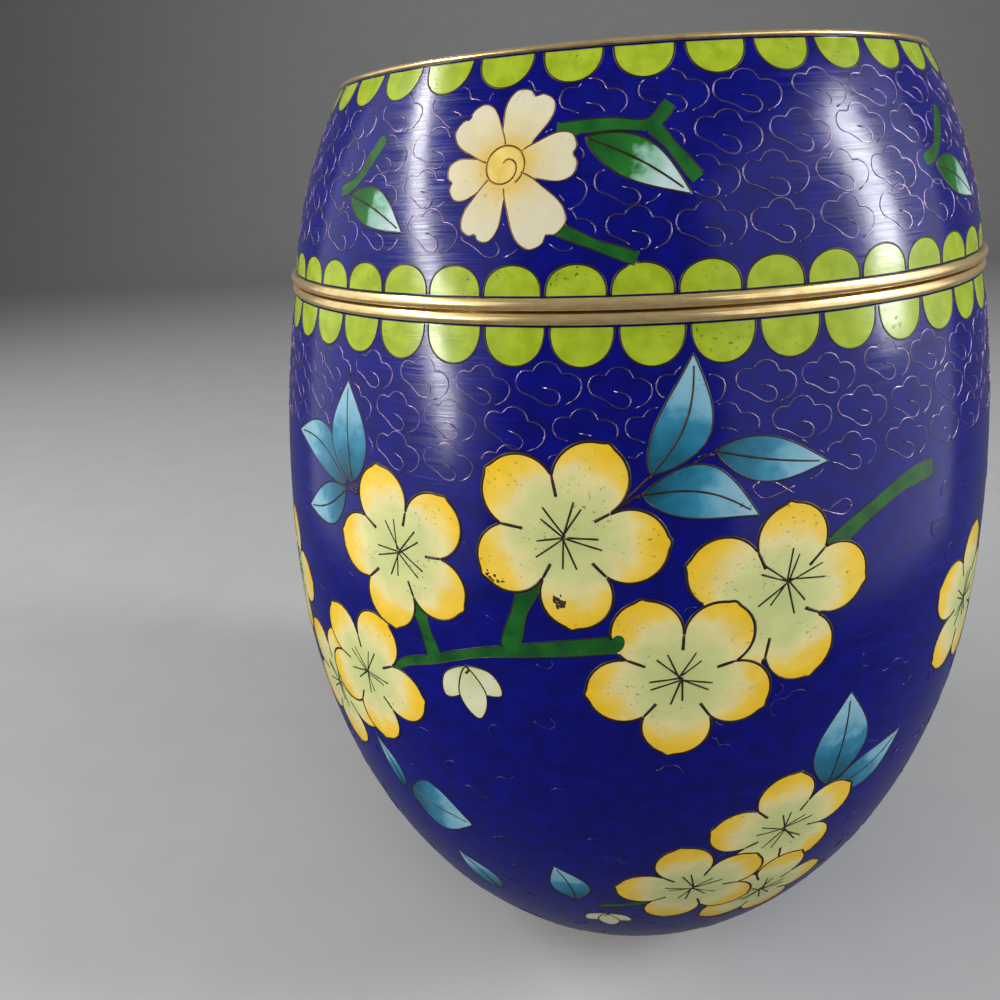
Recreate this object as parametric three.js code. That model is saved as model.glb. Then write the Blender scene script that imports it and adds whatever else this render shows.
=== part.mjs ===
// A lidded egg-shaped box in cloisonne enamel: a hollow jar on a gilt foot ring, and a lid that lifts off.
// Millimetres, +Z up. The origin is the centre of the foot ring's underside.
import * as THREE from 'three';

// The egg's outline
const BELLY_RADIUS = 55.5; // widest outside radius of the jar
const LOWER_HALF_AXIS = 76.7; // half height of the ellipse below the widest level
const UPPER_HALF_AXIS = 104.3; // half height of the ellipse above the widest level
const SEAM_ABOVE_BELLY = 47.4; // level where the lid meets the jar
const WALL = 2.2; // copper sheet with enamel on both faces

// The lid
const LID_FOOT_RADIUS = 49.5; // enamelled wall at the seam
const LID_SHOULDER_RADIUS = 39.9; // enamelled wall under the shoulder ring
const LID_WALL_HEIGHT = 24.4; // seam to the shoulder
const LID_WALL_BULGE = 1.45; // how far the wall swells out of a straight cone, halfway up
const DOME_RADIUS = 38.2; // the shallow top inside the shoulder ring
const DOME_EDGE_RISE = 0.7; // edge of the dome above the shoulder
const DOME_RISE = 3.0; // middle of the dome above its edge

// The gilt fittings
const RIM_RADIUS = 50; // outside of both rims at the seam
const RIM_ROUNDING = 0.3; // how far a rim's outer face swells
const JAR_RIM_HEIGHT = 1.2;
const LID_RIM_HEIGHT = 1.25;
const LIP_RADIUS = 46; // outside of the lip that centres the lid
const LIP_THICKNESS = 0.9;
const LIP_HEIGHT = 3.2;
const SHOULDER_RING_WIDTH = 1.6;
const SHOULDER_RING_HEIGHT = 0.6;
const FOOT_RADIUS = 26;
const FOOT_WIDTH = 2.6;
const FOOT_HEIGHT = 2.5;

// Clearances
const SEAM_GAP = 0.3; // the dark line between the two rims
const SOLDER_GAP = 0.1; // between a gilt fitting and the enamelled wall it is soldered to

// How finely the round shapes are divided
const SEGMENTS_AROUND = 60;

// Levels worked out from the sizes above
const BASE_LEVEL = FOOT_HEIGHT + SOLDER_GAP;
const BELLY_LEVEL = BASE_LEVEL + LOWER_HALF_AXIS * Math.sqrt(1 - (FOOT_RADIUS / BELLY_RADIUS) ** 2);
const SEAM_LEVEL = BELLY_LEVEL + SEAM_ABOVE_BELLY;
const JAR_RIM_TOP = SEAM_LEVEL - SEAM_GAP / 2;
const JAR_RIM_FOOT = JAR_RIM_TOP - JAR_RIM_HEIGHT;
const JAR_WALL_TOP = JAR_RIM_FOOT - SOLDER_GAP;
const LID_RIM_FOOT = SEAM_LEVEL + SEAM_GAP / 2;
const LID_RIM_TOP = LID_RIM_FOOT + LID_RIM_HEIGHT;
const LID_WALL_FOOT = LID_RIM_TOP + SOLDER_GAP;
const SHOULDER_LEVEL = SEAM_LEVEL + LID_WALL_HEIGHT;
const DOME_EDGE_LEVEL = SHOULDER_LEVEL + DOME_EDGE_RISE;

// Materials, in the colours of the enamel and the gilding
const enamel = new THREE.MeshStandardMaterial({ color: 0x0c1a72, roughness: 0.15, metalness: 0 });
const gilt = new THREE.MeshStandardMaterial({ color: 0xb9975a, roughness: 0.3, metalness: 1 });

/** Points from start to end of a curve given by pointAt(t), with t from 0 to 1. */
function sampleCurve(pointAt, steps) {
  return Array.from({ length: steps + 1 }, (_, i) => pointAt(i / steps));
}

/** Profile of the egg from one level to another, set in from its outside by the inset. */
function eggArc(fromLevel, toLevel, inset, steps) {
  const radius = BELLY_RADIUS - inset;
  const angleAt = (level) => {
    const halfAxis = (level < BELLY_LEVEL ? LOWER_HALF_AXIS : UPPER_HALF_AXIS) - inset;
    return Math.asin((level - BELLY_LEVEL) / halfAxis);
  };
  const start = angleAt(fromLevel);
  const end = angleAt(toLevel);
  return sampleCurve((t) => {
    const angle = start + (end - start) * t;
    const halfAxis = (angle < 0 ? LOWER_HALF_AXIS : UPPER_HALF_AXIS) - inset;
    return new THREE.Vector2(radius * Math.cos(angle), BELLY_LEVEL + halfAxis * Math.sin(angle));
  }, steps);
}

/** Outside radius of the lid's wall at a level: a cone with a shallow parabolic swell. */
function lidRadius(level) {
  const t = (level - SEAM_LEVEL) / LID_WALL_HEIGHT;
  const cone = LID_FOOT_RADIUS + (LID_SHOULDER_RADIUS - LID_FOOT_RADIUS) * t;
  return cone + 4 * LID_WALL_BULGE * t * (1 - t);
}

/** Profile of the lid's wall from one level to another, set in by the inset. */
function lidArc(fromLevel, toLevel, inset, steps) {
  return sampleCurve((t) => {
    const level = fromLevel + (toLevel - fromLevel) * t;
    return new THREE.Vector2(lidRadius(level) - inset, level);
  }, steps);
}

/** Profile of a shallow dome from its edge to the axis. */
function domeArc(edgeRadius, edgeLevel, steps) {
  return sampleCurve((t) => {
    const radius = edgeRadius * (1 - t);
    return new THREE.Vector2(radius, edgeLevel + DOME_RISE * (1 - (1 - t) ** 2));
  }, steps);
}

/** Rounded outer face of a gilt ring, from its lower to its upper edge. */
function ringFace(radius, footLevel, height, rounding, steps) {
  return sampleCurve((t) => {
    const swell = rounding * (1 - (2 * t - 1) ** 2);
    return new THREE.Vector2(radius - rounding + swell, footLevel + height * t);
  }, steps);
}

/** A named solid turned from a profile of (radius, level) points that run up its outside. */
function turned(name, profile, material) {
  const geometry = new THREE.LatheGeometry(profile, SEGMENTS_AROUND);
  geometry.rotateX(Math.PI / 2);
  const mesh = new THREE.Mesh(geometry, material);
  mesh.name = name;
  return mesh;
}

/** A profile that closes on itself. */
function closed(points) {
  return [...points, points[0].clone()];
}

/** The enamelled jar: an egg cut flat at its base and open at the mouth. */
function jarBody() {
  const outside = eggArc(BASE_LEVEL, JAR_WALL_TOP, 0, 14);
  const inside = eggArc(JAR_WALL_TOP, BASE_LEVEL + WALL, WALL, 11);
  const onAxis = [new THREE.Vector2(0, BASE_LEVEL)];
  const floorMiddle = [new THREE.Vector2(0, BASE_LEVEL + WALL)];
  return turned('jar_body', [...onAxis, ...outside, ...inside, ...floorMiddle], enamel);
}

/** The gilt rim on the jar's mouth, with the lip that centres the lid. */
function jarRim() {
  const lipTop = JAR_RIM_TOP + LIP_HEIGHT;
  const lipInside = LIP_RADIUS - LIP_THICKNESS;
  const profile = [
    new THREE.Vector2(lipInside, JAR_RIM_FOOT),
    ...ringFace(RIM_RADIUS, JAR_RIM_FOOT, JAR_RIM_HEIGHT, RIM_ROUNDING, 4),
    new THREE.Vector2(LIP_RADIUS, JAR_RIM_TOP),
    new THREE.Vector2(LIP_RADIUS, lipTop),
    new THREE.Vector2(lipInside, lipTop),
  ];
  return turned('jar_rim', closed(profile), gilt);
}

/** The gilt foot ring under the jar. */
function footRing() {
  const profile = [
    new THREE.Vector2(FOOT_RADIUS - FOOT_WIDTH, 0),
    ...ringFace(FOOT_RADIUS, 0, FOOT_HEIGHT, RIM_ROUNDING, 4),
    new THREE.Vector2(FOOT_RADIUS - FOOT_WIDTH, FOOT_HEIGHT),
  ];
  return turned('foot_ring', closed(profile), gilt);
}

/** The enamelled lid: a sloping wall and a shallow domed top, hollow below. */
function lidShell() {
  const undersideEdge = DOME_EDGE_LEVEL - WALL;
  const outside = lidArc(LID_WALL_FOOT, SHOULDER_LEVEL, 0, 5);
  const top = domeArc(DOME_RADIUS, DOME_EDGE_LEVEL, 4);
  const underside = domeArc(lidRadius(undersideEdge) - WALL, undersideEdge, 4).reverse();
  const inside = lidArc(undersideEdge, LID_WALL_FOOT, WALL, 4).slice(1);
  const seat = [new THREE.Vector2(DOME_RADIUS, SHOULDER_LEVEL)];
  return turned('lid_shell', [...underside, ...inside, ...outside, ...seat, ...top], enamel);
}

/** The gilt rim on the lid's lower edge. */
function lidRim() {
  const insideRadius = LID_FOOT_RADIUS - WALL;
  const profile = [
    new THREE.Vector2(insideRadius, LID_RIM_FOOT),
    ...ringFace(RIM_RADIUS, LID_RIM_FOOT, LID_RIM_HEIGHT, RIM_ROUNDING, 4),
    new THREE.Vector2(insideRadius, LID_RIM_TOP),
  ];
  return turned('lid_rim', closed(profile), gilt);
}

/** The gilt ring on the lid's shoulder, around the dome. */
function shoulderRing() {
  const insideRadius = DOME_RADIUS + SOLDER_GAP;
  const footLevel = SHOULDER_LEVEL + SOLDER_GAP;
  const profile = [
    new THREE.Vector2(insideRadius, footLevel),
    ...ringFace(insideRadius + SHOULDER_RING_WIDTH, footLevel, SHOULDER_RING_HEIGHT, RIM_ROUNDING, 4),
    new THREE.Vector2(insideRadius, footLevel + SHOULDER_RING_HEIGHT),
  ];
  return turned('shoulder_ring', closed(profile), gilt);
}

const jar = new THREE.Group();
jar.add(jarBody(), jarRim(), footRing());

const lid = new THREE.Group();
lid.add(lidShell(), lidRim(), shoulderRing());

const box = new THREE.Group();
box.add(jar, lid);

export default box;
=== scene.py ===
"""Looks of an egg-shaped lidded box in cloisonne enamel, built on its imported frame.

The decoration is drawn in millimetres on unrolled surfaces: "across" is an angle in degrees round the axis
from the front, and "up" is a length along the wall from the seam between jar and lid. Meshes are in metres.
"""
import logging
import math
import random
from abc import ABC, abstractmethod
from dataclasses import dataclass, field, replace
from enum import Enum

import bpy
import numpy as np
from mathutils import Matrix, Vector
from mathutils.geometry import delaunay_2d_cdt


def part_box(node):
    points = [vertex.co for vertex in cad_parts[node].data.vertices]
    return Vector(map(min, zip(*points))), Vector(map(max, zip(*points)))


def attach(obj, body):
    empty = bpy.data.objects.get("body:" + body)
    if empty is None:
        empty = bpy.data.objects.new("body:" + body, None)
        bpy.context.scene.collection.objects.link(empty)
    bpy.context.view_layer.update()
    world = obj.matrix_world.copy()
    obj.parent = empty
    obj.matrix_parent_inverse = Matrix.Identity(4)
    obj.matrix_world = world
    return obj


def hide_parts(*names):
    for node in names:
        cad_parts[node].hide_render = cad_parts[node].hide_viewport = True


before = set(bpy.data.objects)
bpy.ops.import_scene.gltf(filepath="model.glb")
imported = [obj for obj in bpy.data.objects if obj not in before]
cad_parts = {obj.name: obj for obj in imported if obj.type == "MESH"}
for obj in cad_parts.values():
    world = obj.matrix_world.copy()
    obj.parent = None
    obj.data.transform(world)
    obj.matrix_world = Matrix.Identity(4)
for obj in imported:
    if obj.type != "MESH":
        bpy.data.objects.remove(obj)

LOG = logging.getLogger("cloisonne_box")
BODY = "root"
MM = 0.001
FULL_TURN = 2 * math.pi
BACK = -180.0  # degrees round the axis from the front

Array = np.ndarray
Pair = tuple[float, float]
Colour = tuple[float, float, float, float]
Stops = tuple[tuple[float, Colour], ...]
Piece = bpy.types.Object
Material = bpy.types.Material
Socket = bpy.types.NodeSocket


# Sizes

@dataclass(frozen=True)
class BoxSizes:
    """Driving sizes of the turned walls in millimetres.

    They are those of the solids, less the height of the wires at the belly and at the top of the dome.
    """

    belly_radius: float = 55.44
    lower_half_axis: float = 76.7
    upper_half_axis: float = 104.3
    seam_above_belly: float = 47.4
    wall: float = 2.2
    lid_foot_radius: float = 49.5
    lid_shoulder_radius: float = 39.9
    lid_wall_height: float = 24.4
    lid_bulge: float = 1.45
    dome_radius: float = 38.2
    dome_edge_rise: float = 0.7
    dome_rise: float = 2.93
    seam_gap: float = 0.3


@dataclass(frozen=True)
class Levels:
    """Heights above the table in millimetres, read from the frame."""

    base: float
    jar_wall_top: float
    seam: float
    lid_wall_foot: float
    shoulder: float

    @classmethod
    def from_frame(cls, sizes: BoxSizes) -> "Levels":
        """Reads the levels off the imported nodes.

        Args:
            sizes: Driving sizes, for the gap at the seam.

        Returns:
            The levels of the box as packed.
        """
        jar_low, jar_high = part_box("jar_body")
        rim_low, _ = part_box("lid_rim")
        lid_low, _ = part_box("lid_shell")
        seam = rim_low.z / MM - sizes.seam_gap / 2
        return cls(jar_low.z / MM, jar_high.z / MM, seam, lid_low.z / MM, seam + sizes.lid_wall_height)


# Curves

DISC_CORNERS = 24


def smooth(points: Array, per_span: int, closed: bool = False) -> Array:
    """Runs a Catmull-Rom curve through points.

    Args:
        points: Rows of x and y.
        per_span: Steps between two neighbouring points.
        closed: Whether the curve returns to its start.

    Returns:
        Rows of points on the curve.
    """
    points = np.asarray(points, float)
    if closed:
        padded = np.vstack([points[-1:], points, points[:2]])
    else:
        padded = np.vstack([2 * points[:1] - points[1:2], points, 2 * points[-1:] - points[-2:-1]])
    steps = np.linspace(0, 1, per_span, endpoint=False)[:, None]
    spans = []
    for before, start, end, after in zip(padded, padded[1:], padded[2:], padded[3:]):
        slope = end - before
        bend = 2 * before - 5 * start + 4 * end - after
        twist = 3 * (start - end) + after - before
        spans.append(start + 0.5 * (slope * steps + bend * steps**2 + twist * steps**3))
    return np.vstack(spans if closed else [*spans, points[-1:]])


def turn(points: Array, degrees: float) -> Array:
    """Turns points clockwise about the origin.

    Args:
        points: Rows of x and y.
        degrees: Clockwise angle.

    Returns:
        The turned points.
    """
    sine, cosine = math.sin(math.radians(degrees)), math.cos(math.radians(degrees))
    x, y = np.asarray(points, float).T
    return np.stack([x * cosine + y * sine, y * cosine - x * sine], 1)


def arc(centre: Pair, radius: float, start: float, end: float, steps: int) -> Array:
    """Samples a circular arc, with angles in degrees clockwise from up and a number of chords."""
    angles = np.radians(np.linspace(start, end, steps + 1))
    return np.stack([centre[0] + radius * np.sin(angles), centre[1] + radius * np.cos(angles)], 1)


def point_at(radius: float, heading: float, centre: Pair = (0.0, 0.0)) -> Array:
    """Gives the point at a distance and a heading in degrees clockwise from up."""
    return arc(centre, radius, heading, heading, 0)[0]


def disc(radius: float) -> Array:
    """Gives the corners of a disc about the origin."""
    return arc((0, 0), radius, 0, 360 - 360 / DISC_CORNERS, DISC_CORNERS - 1)


def dense(path: Array, closed: bool, step: float) -> Array:
    """Adds points along a path until none are far apart.

    Args:
        path: Rows of x and y.
        closed: Whether the path returns to its start.
        step: Largest distance wanted.

    Returns:
        The path with more points.
    """
    whole = np.vstack([path, path[:1]]) if closed else path
    lengths = np.concatenate([[0.0], np.cumsum(np.hypot(*np.diff(whole, axis=0).T))])
    count = max(int(lengths[-1] / step), len(path))
    places = np.linspace(0, lengths[-1], count + 1)[:count if closed else None]
    return np.stack([np.interp(places, lengths, whole[:, axis]) for axis in (0, 1)], 1)


def lies_inside(points: Array, outline: Array) -> Array:
    """Tests which points lie inside an outline, by counting crossings.

    Args:
        points: Rows of x and y.
        outline: Corners of a simple polygon.

    Returns:
        One truth value for each point.
    """
    x, y = points[:, :1], points[:, 1:]
    (x0, y0), (x1, y1) = outline.T, np.roll(outline, -1, 0).T
    rise = np.where(y1 == y0, 1e-12, y1 - y0)
    crosses = ((y0 > y) != (y1 > y)) & (x < x0 + (x1 - x0) * (y - y0) / rise)
    return crosses.sum(1) % 2 == 1


# Surfaces to draw on

@dataclass(frozen=True)
class Spot:
    """A place on a canvas and a clockwise turn in degrees."""

    across: float
    up: float
    spin: float = 0.0


class Canvas(ABC):
    """A surface that is drawn on flat and then laid on the box. A wall is cut at an angle to unroll it."""

    cut: float = BACK

    @abstractmethod
    def drawn(self, spot: Spot) -> Array:
        """Gives the flat coordinates of a spot."""

    @abstractmethod
    def place(self, spot: Spot, local: Array) -> Array:
        """Lays a motif's own millimetres out at a spot, in flat coordinates."""

    @abstractmethod
    def relative(self, spot: Spot, drawn: Array) -> Array:
        """Turns flat coordinates back into a motif's own millimetres."""

    @abstractmethod
    def points(self, drawn: Array) -> Array:
        """Gives places in space, in metres."""

    @abstractmethod
    def normals(self, drawn: Array) -> Array:
        """Gives the outward directions."""

    def reach(self, start: Spot, end: Spot) -> Array:
        """Measures from one spot to another, in millimetres to the right and up."""
        return self.relative(replace(start, spin=0.0), self.drawn(end)[None])[0]


class WallCanvas(Canvas):
    """The outside of a turned wall, unrolled at a fixed radius."""

    SPREAD = 50.0

    def __init__(self, radii: Array, levels: Array, seam: float, cut: float) -> None:
        """Keeps a profile that runs up the wall.

        Args:
            radii: Radii along the profile in millimetres.
            levels: Heights above the table along the profile.
            seam: Level where "up" is zero.
            cut: Angle in degrees of a line that no motif crosses.
        """
        self.cut = cut
        lengths = np.concatenate([[0.0], np.cumsum(np.hypot(np.diff(radii), np.diff(levels)))])
        self.radii, self.levels = radii, levels
        self.ups = lengths - np.interp(seam, levels, lengths)
        self.slopes = np.stack([np.gradient(levels, self.ups), -np.gradient(radii, self.ups)], 1)

    def radius(self, ups: Array) -> Array:
        """Gives the wall's radii at lengths from the seam."""
        return np.interp(ups, self.ups, self.radii)

    def up_at(self, level: float) -> float:
        """Gives the length along the wall from the seam to a level."""
        return float(np.interp(level, self.levels, self.ups))

    def drawn(self, spot: Spot) -> Array:
        """Gives the flat coordinates of a spot."""
        return np.array([math.radians(spot.across) * self.SPREAD, spot.up])

    def place(self, spot: Spot, local: Array) -> Array:
        """Lays a motif out on the unrolled wall.

        Args:
            spot: Where the motif is.
            local: The motif's own millimetres.

        Returns:
            Flat coordinates.
        """
        x, y = turn(local, spot.spin).T
        start_x, start_y = self.drawn(spot)
        return np.stack([start_x + x * self.SPREAD / self.radius(start_y + y), start_y + y], 1)

    def relative(self, spot: Spot, drawn: Array) -> Array:
        """Turns flat coordinates back into a motif's own.

        Args:
            spot: Where the motif is.
            drawn: Flat coordinates.

        Returns:
            The motif's own millimetres.
        """
        start_x, start_y = self.drawn(spot)
        x = (drawn[:, 0] - start_x) * self.radius(drawn[:, 1]) / self.SPREAD
        return turn(np.stack([x, drawn[:, 1] - start_y], 1), -spot.spin)

    def points(self, drawn: Array) -> Array:
        """Rolls the wall up again.

        Args:
            drawn: Flat coordinates.

        Returns:
            Places in space, in metres.
        """
        angles, radii = drawn[:, 0] / self.SPREAD, self.radius(drawn[:, 1])
        levels = np.interp(drawn[:, 1], self.ups, self.levels)
        return MM * np.stack([radii * np.sin(angles), -radii * np.cos(angles), levels], 1)

    def normals(self, drawn: Array) -> Array:
        """Finds which way the wall faces.

        Args:
            drawn: Flat coordinates.

        Returns:
            Outward directions of length one.
        """
        angles = drawn[:, 0] / self.SPREAD
        outward = np.interp(drawn[:, 1], self.ups, self.slopes[:, 0])
        upward = np.interp(drawn[:, 1], self.ups, self.slopes[:, 1])
        found = np.stack([outward * np.sin(angles), -outward * np.cos(angles), upward], 1)
        return found / np.linalg.norm(found, axis=1, keepdims=True)


class DomeCanvas(Canvas):
    """The shallow top of the lid, drawn in plan: a spot's across and up are millimetres from the middle."""

    def __init__(self, sizes: BoxSizes, edge_level: float) -> None:
        """Keeps the dome's form and the height of its edge above the table."""
        self.edge_radius, self.rise, self.edge_level = sizes.dome_radius, sizes.dome_rise, edge_level

    def drawn(self, spot: Spot) -> Array:
        """Gives the plan coordinates of a spot."""
        return np.array([spot.across, spot.up])

    def place(self, spot: Spot, local: Array) -> Array:
        """Lays a motif out in plan."""
        return self.drawn(spot) + turn(local, spot.spin)

    def relative(self, spot: Spot, drawn: Array) -> Array:
        """Turns plan coordinates back into a motif's own millimetres."""
        return turn(drawn - self.drawn(spot), -spot.spin)

    def points(self, drawn: Array) -> Array:
        """Lifts plan coordinates onto the dome, in metres."""
        share = (drawn**2).sum(1) / self.edge_radius**2
        return MM * np.column_stack([drawn, self.edge_level + self.rise * (1 - share)])

    def normals(self, drawn: Array) -> Array:
        """Gives the outward directions of length one."""
        found = np.column_stack([2 * self.rise / self.edge_radius**2 * drawn, np.ones(len(drawn))])
        return found / np.linalg.norm(found, axis=1, keepdims=True)


# Finishes

def srgb(red: int, green: int, blue: int) -> Colour:
    """Turns an 8-bit display colour into a linear one with full alpha."""
    shares = (channel / 255 for channel in (red, green, blue))
    return (*(s / 12.92 if s <= 0.04045 else ((s + 0.055) / 1.055) ** 2.4 for s in shares), 1.0)


class Measure(Enum):
    """What an enamel's colour follows inside its cell."""

    CLOUDY = "noise alone"
    RADIAL = "distance from the motif's middle"
    ALONG = "distance from the motif's base"


@dataclass(frozen=True)
class EnamelTone:
    """One enamel: colours along its measure, and how even its surface is."""

    name: str
    measure: Measure
    stops: Stops
    ragged: float = 0.12
    mottle: float = 0.12
    speckle: float = 0.15
    gloss_loss: float = 0.0


class Enamel(Enum):
    """The enamels of the box, in the order of the material slots."""

    GROUND = EnamelTone("cobalt_ground", Measure.CLOUDY, (
        (0.2, srgb(4, 7, 83)), (0.8, srgb(5, 9, 99))), mottle=0.05, speckle=0.05)
    LIME = EnamelTone("lime_scallop", Measure.CLOUDY, (
        (0.2, srgb(124, 143, 26)), (0.8, srgb(141, 158, 38))), mottle=0.08, speckle=0.7)
    PETAL = EnamelTone("yellow_petal", Measure.RADIAL, (
        (0.12, srgb(165, 173, 112)), (0.45, srgb(178, 180, 122)), (0.62, srgb(195, 185, 129)),
        (0.78, srgb(205, 174, 68)), (0.95, srgb(204, 166, 34))), ragged=0.2, speckle=0.55)
    CREAM = EnamelTone("cream_petal", Measure.RADIAL, (
        (0.28, srgb(188, 160, 84)), (0.5, srgb(184, 172, 134)), (0.85, srgb(184, 178, 152))), speckle=0.3)
    HEART = EnamelTone("flower_heart", Measure.CLOUDY, (
        (0.2, srgb(189, 162, 79)), (0.8, srgb(200, 176, 101))), speckle=0.3)
    TEAL = EnamelTone("turquoise_leaf", Measure.ALONG, (
        (0.02, srgb(15, 60, 75)), (0.3, srgb(26, 89, 114)), (0.48, srgb(43, 110, 137)),
        (0.62, srgb(97, 144, 163)), (1.0, srgb(124, 161, 174))), ragged=0.24, speckle=0.7)
    FERN = EnamelTone("green_and_pale_leaf", Measure.ALONG, (
        (0.1, srgb(16, 68, 24)), (0.45, srgb(30, 92, 32)), (0.55, srgb(112, 152, 134)),
        (0.8, srgb(160, 179, 179))), ragged=0.3, speckle=0.3)
    STEM = EnamelTone("green_stem", Measure.CLOUDY, (
        (0.2, srgb(15, 65, 26)), (0.8, srgb(26, 84, 31))), mottle=0.06, speckle=0.4)
    BUD = EnamelTone("white_bud", Measure.ALONG, (
        (0.1, srgb(166, 171, 122)), (0.6, srgb(183, 185, 153)), (1.0, srgb(180, 178, 141))), speckle=0.3)
    CHIP = EnamelTone("chipped_enamel", Measure.CLOUDY, (
        (0.35, srgb(15, 11, 9)), (0.75, srgb(50, 39, 24))), speckle=0.6, gloss_loss=0.4)
    LINING = EnamelTone("turquoise_lining", Measure.CLOUDY, (
        (0.25, srgb(60, 148, 172)), (0.75, srgb(84, 172, 192))), speckle=0.3)

    @property
    def slot(self) -> int:
        """Number of its material slot."""
        return list(Enamel).index(self)


@dataclass(frozen=True)
class MetalTone:
    """One metal finish: its bright and dull colours and how rough each is."""

    name: str
    bright: Colour
    dull: Colour
    smoothest: float
    roughest: float
    metallic: float = 1.0


class Wire(Enum):
    """The wires of the box, in the order of the material slots."""

    BRIGHT = MetalTone("bright_wire", srgb(142, 122, 138), srgb(64, 58, 108), 0.28, 0.45)
    BROWN = MetalTone("brown_wire", srgb(132, 92, 46), srgb(70, 46, 24), 0.3, 0.5, 0.8)
    DARK = MetalTone("dark_wire", srgb(58, 40, 22), srgb(24, 17, 13), 0.35, 0.55, 0.5)
    # Painted shade: a dark copy of the cloud wire, tinted towards the blue ground, for the shaded lower part
    # of the jar
    SHADED = MetalTone("shaded_cloud_wire", srgb(39, 38, 92), srgb(16, 18, 86), 0.25, 0.4, 0.3)

    @property
    def slot(self) -> int:
        """Number of its material slot."""
        return list(Wire).index(self)


GILT = MetalTone("worn_gilding", srgb(255, 230, 170), srgb(228, 190, 124), 0.12, 0.26, 0.85)
ENAMEL_SHINE = 0.24
ENAMEL_HAZE = (0.4, 0.4, 1.0)  # cycles of noise for each millimetre across and up
ENAMEL_HAZE_RANGE = (0.3, 0.7)  # noise from the first colour to the last
ENAMEL_BUMP = (0.4, 0.00002)  # strength, and depth in metres
METAL_BUMP = (0.3, 0.00003)


class NodeBench:
    """Short ways to add and join the nodes of one tree."""

    def __init__(self, tree: bpy.types.NodeTree) -> None:
        """Works on the node tree to fill."""
        self.tree = tree

    def add(self, kind: str, **settings: object) -> bpy.types.Node:
        """Adds a node.

        Args:
            kind: Its type name.
            **settings: Values for its properties.

        Returns:
            The new node.
        """
        node = self.tree.nodes.new(kind)
        for key, value in settings.items():
            setattr(node, key, value)
        return node

    def feed(self, socket: Socket, value: object) -> None:
        """Joins a socket to another, or sets it.

        Args:
            socket: The input.
            value: An output socket, or a plain value.
        """
        if isinstance(value, Socket):
            self.tree.links.new(value, socket)
        else:
            socket.default_value = value

    def maths(self, operation: str, *values: object) -> Socket:
        """Adds a sum.

        Args:
            operation: The Math node's operation.
            *values: Its inputs.

        Returns:
            The result.
        """
        node = self.add("ShaderNodeMath", operation=operation)
        for socket, value in zip(node.inputs, values):
            self.feed(socket, value)
        return node.outputs[0]

    def blend(self, share: object, first: object, second: object, kind: str = "MIX") -> Socket:
        """Mixes two colours.

        Args:
            share: How much of the second.
            first: One colour.
            second: The other colour.
            kind: The Mix node's blend type.

        Returns:
            The mixed colour.
        """
        node = self.add("ShaderNodeMix", data_type="RGBA", blend_type=kind)
        self.feed(node.inputs["Factor"], share)
        self.feed(node.inputs[6], first)
        self.feed(node.inputs[7], second)
        return node.outputs[2]

    def spread(self, value: object, low: float, high: float, to_low: float = 0.0,
               to_high: float = 1.0) -> Socket:
        """Maps one range onto another, clamped.

        Args:
            value: What is mapped.
            low: Start of its range.
            high: End of its range.
            to_low: Result at the start.
            to_high: Result at the end.

        Returns:
            The mapped value.
        """
        node = self.add("ShaderNodeMapRange")
        for name, number in (("From Min", low), ("From Max", high), ("To Min", to_low), ("To Max", to_high)):
            node.inputs[name].default_value = number
        self.feed(node.inputs["Value"], value)
        return node.outputs["Result"]

    def noise(self, place: object, stretch: tuple[float, float, float], detail: float) -> Socket:
        """Adds noise.

        Args:
            place: Coordinates.
            stretch: Cycles for each unit, along the three axes.
            detail: Octaves of finer noise.

        Returns:
            Values around a half.
        """
        scaled = self.add("ShaderNodeVectorMath", operation="MULTIPLY")
        self.feed(scaled.inputs[0], place)
        scaled.inputs[1].default_value = stretch
        node = self.add("ShaderNodeTexNoise")
        node.inputs["Scale"].default_value = 1.0
        node.inputs["Detail"].default_value = detail
        self.feed(node.inputs["Vector"], scaled.outputs[0])
        return node.outputs["Fac"]

    def attribute(self, name: str) -> Socket:
        """Reads the vector of a mesh attribute."""
        return self.add("ShaderNodeAttribute", attribute_name=name).outputs["Vector"]

    def ramp(self, value: object, stops: Stops) -> Socket:
        """Turns a value into a colour.

        Args:
            value: Place on the ramp.
            stops: Places and colours.

        Returns:
            The colour.
        """
        node = self.add("ShaderNodeValToRGB")
        elements = node.color_ramp.elements
        while len(elements) < len(stops):
            elements.new(0.5)
        for element, (place, colour) in zip(elements, stops):
            element.position, element.color = place, colour
        self.feed(node.inputs["Fac"], value)
        return node.outputs["Color"]


class EffectGroup(ABC):
    """A shader node group that several materials share."""

    name: str
    inputs: tuple[tuple[str, str], ...]
    outputs: tuple[tuple[str, str], ...]

    def tree(self) -> bpy.types.NodeTree:
        """Finds the group's node tree, or makes it."""
        found = bpy.data.node_groups.get(self.name)
        return found or self._make()

    def _make(self) -> bpy.types.NodeTree:
        """Makes the group with its sockets and nodes.

        Returns:
            The group's node tree.
        """
        tree = bpy.data.node_groups.new(self.name, "ShaderNodeTree")
        for label, kind in self.inputs:
            tree.interface.new_socket(label, in_out="INPUT", socket_type=kind)
        for label, kind in self.outputs:
            tree.interface.new_socket(label, in_out="OUTPUT", socket_type=kind)
        bench = NodeBench(tree)
        source, result = bench.add("NodeGroupInput"), bench.add("NodeGroupOutput")
        for label, socket in self.wire(bench, source.outputs).items():
            bench.feed(result.inputs[label], socket)
        return tree

    @abstractmethod
    def wire(self, bench: NodeBench, given: bpy.types.NodeOutputs) -> dict[str, Socket]:
        """Joins the group's nodes.

        Args:
            bench: Where the nodes go.
            given: The group's inputs.

        Returns:
            What each output shows.
        """

    def use(self, bench: NodeBench, **values: object) -> bpy.types.NodeOutputs:
        """Adds the group to a material.

        Args:
            bench: The material's bench.
            **values: What the inputs get.

        Returns:
            The group's outputs.
        """
        node = bench.add("ShaderNodeGroup", node_tree=self.tree())
        for label, value in values.items():
            bench.feed(node.inputs[label], value)
        return node.outputs


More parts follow.
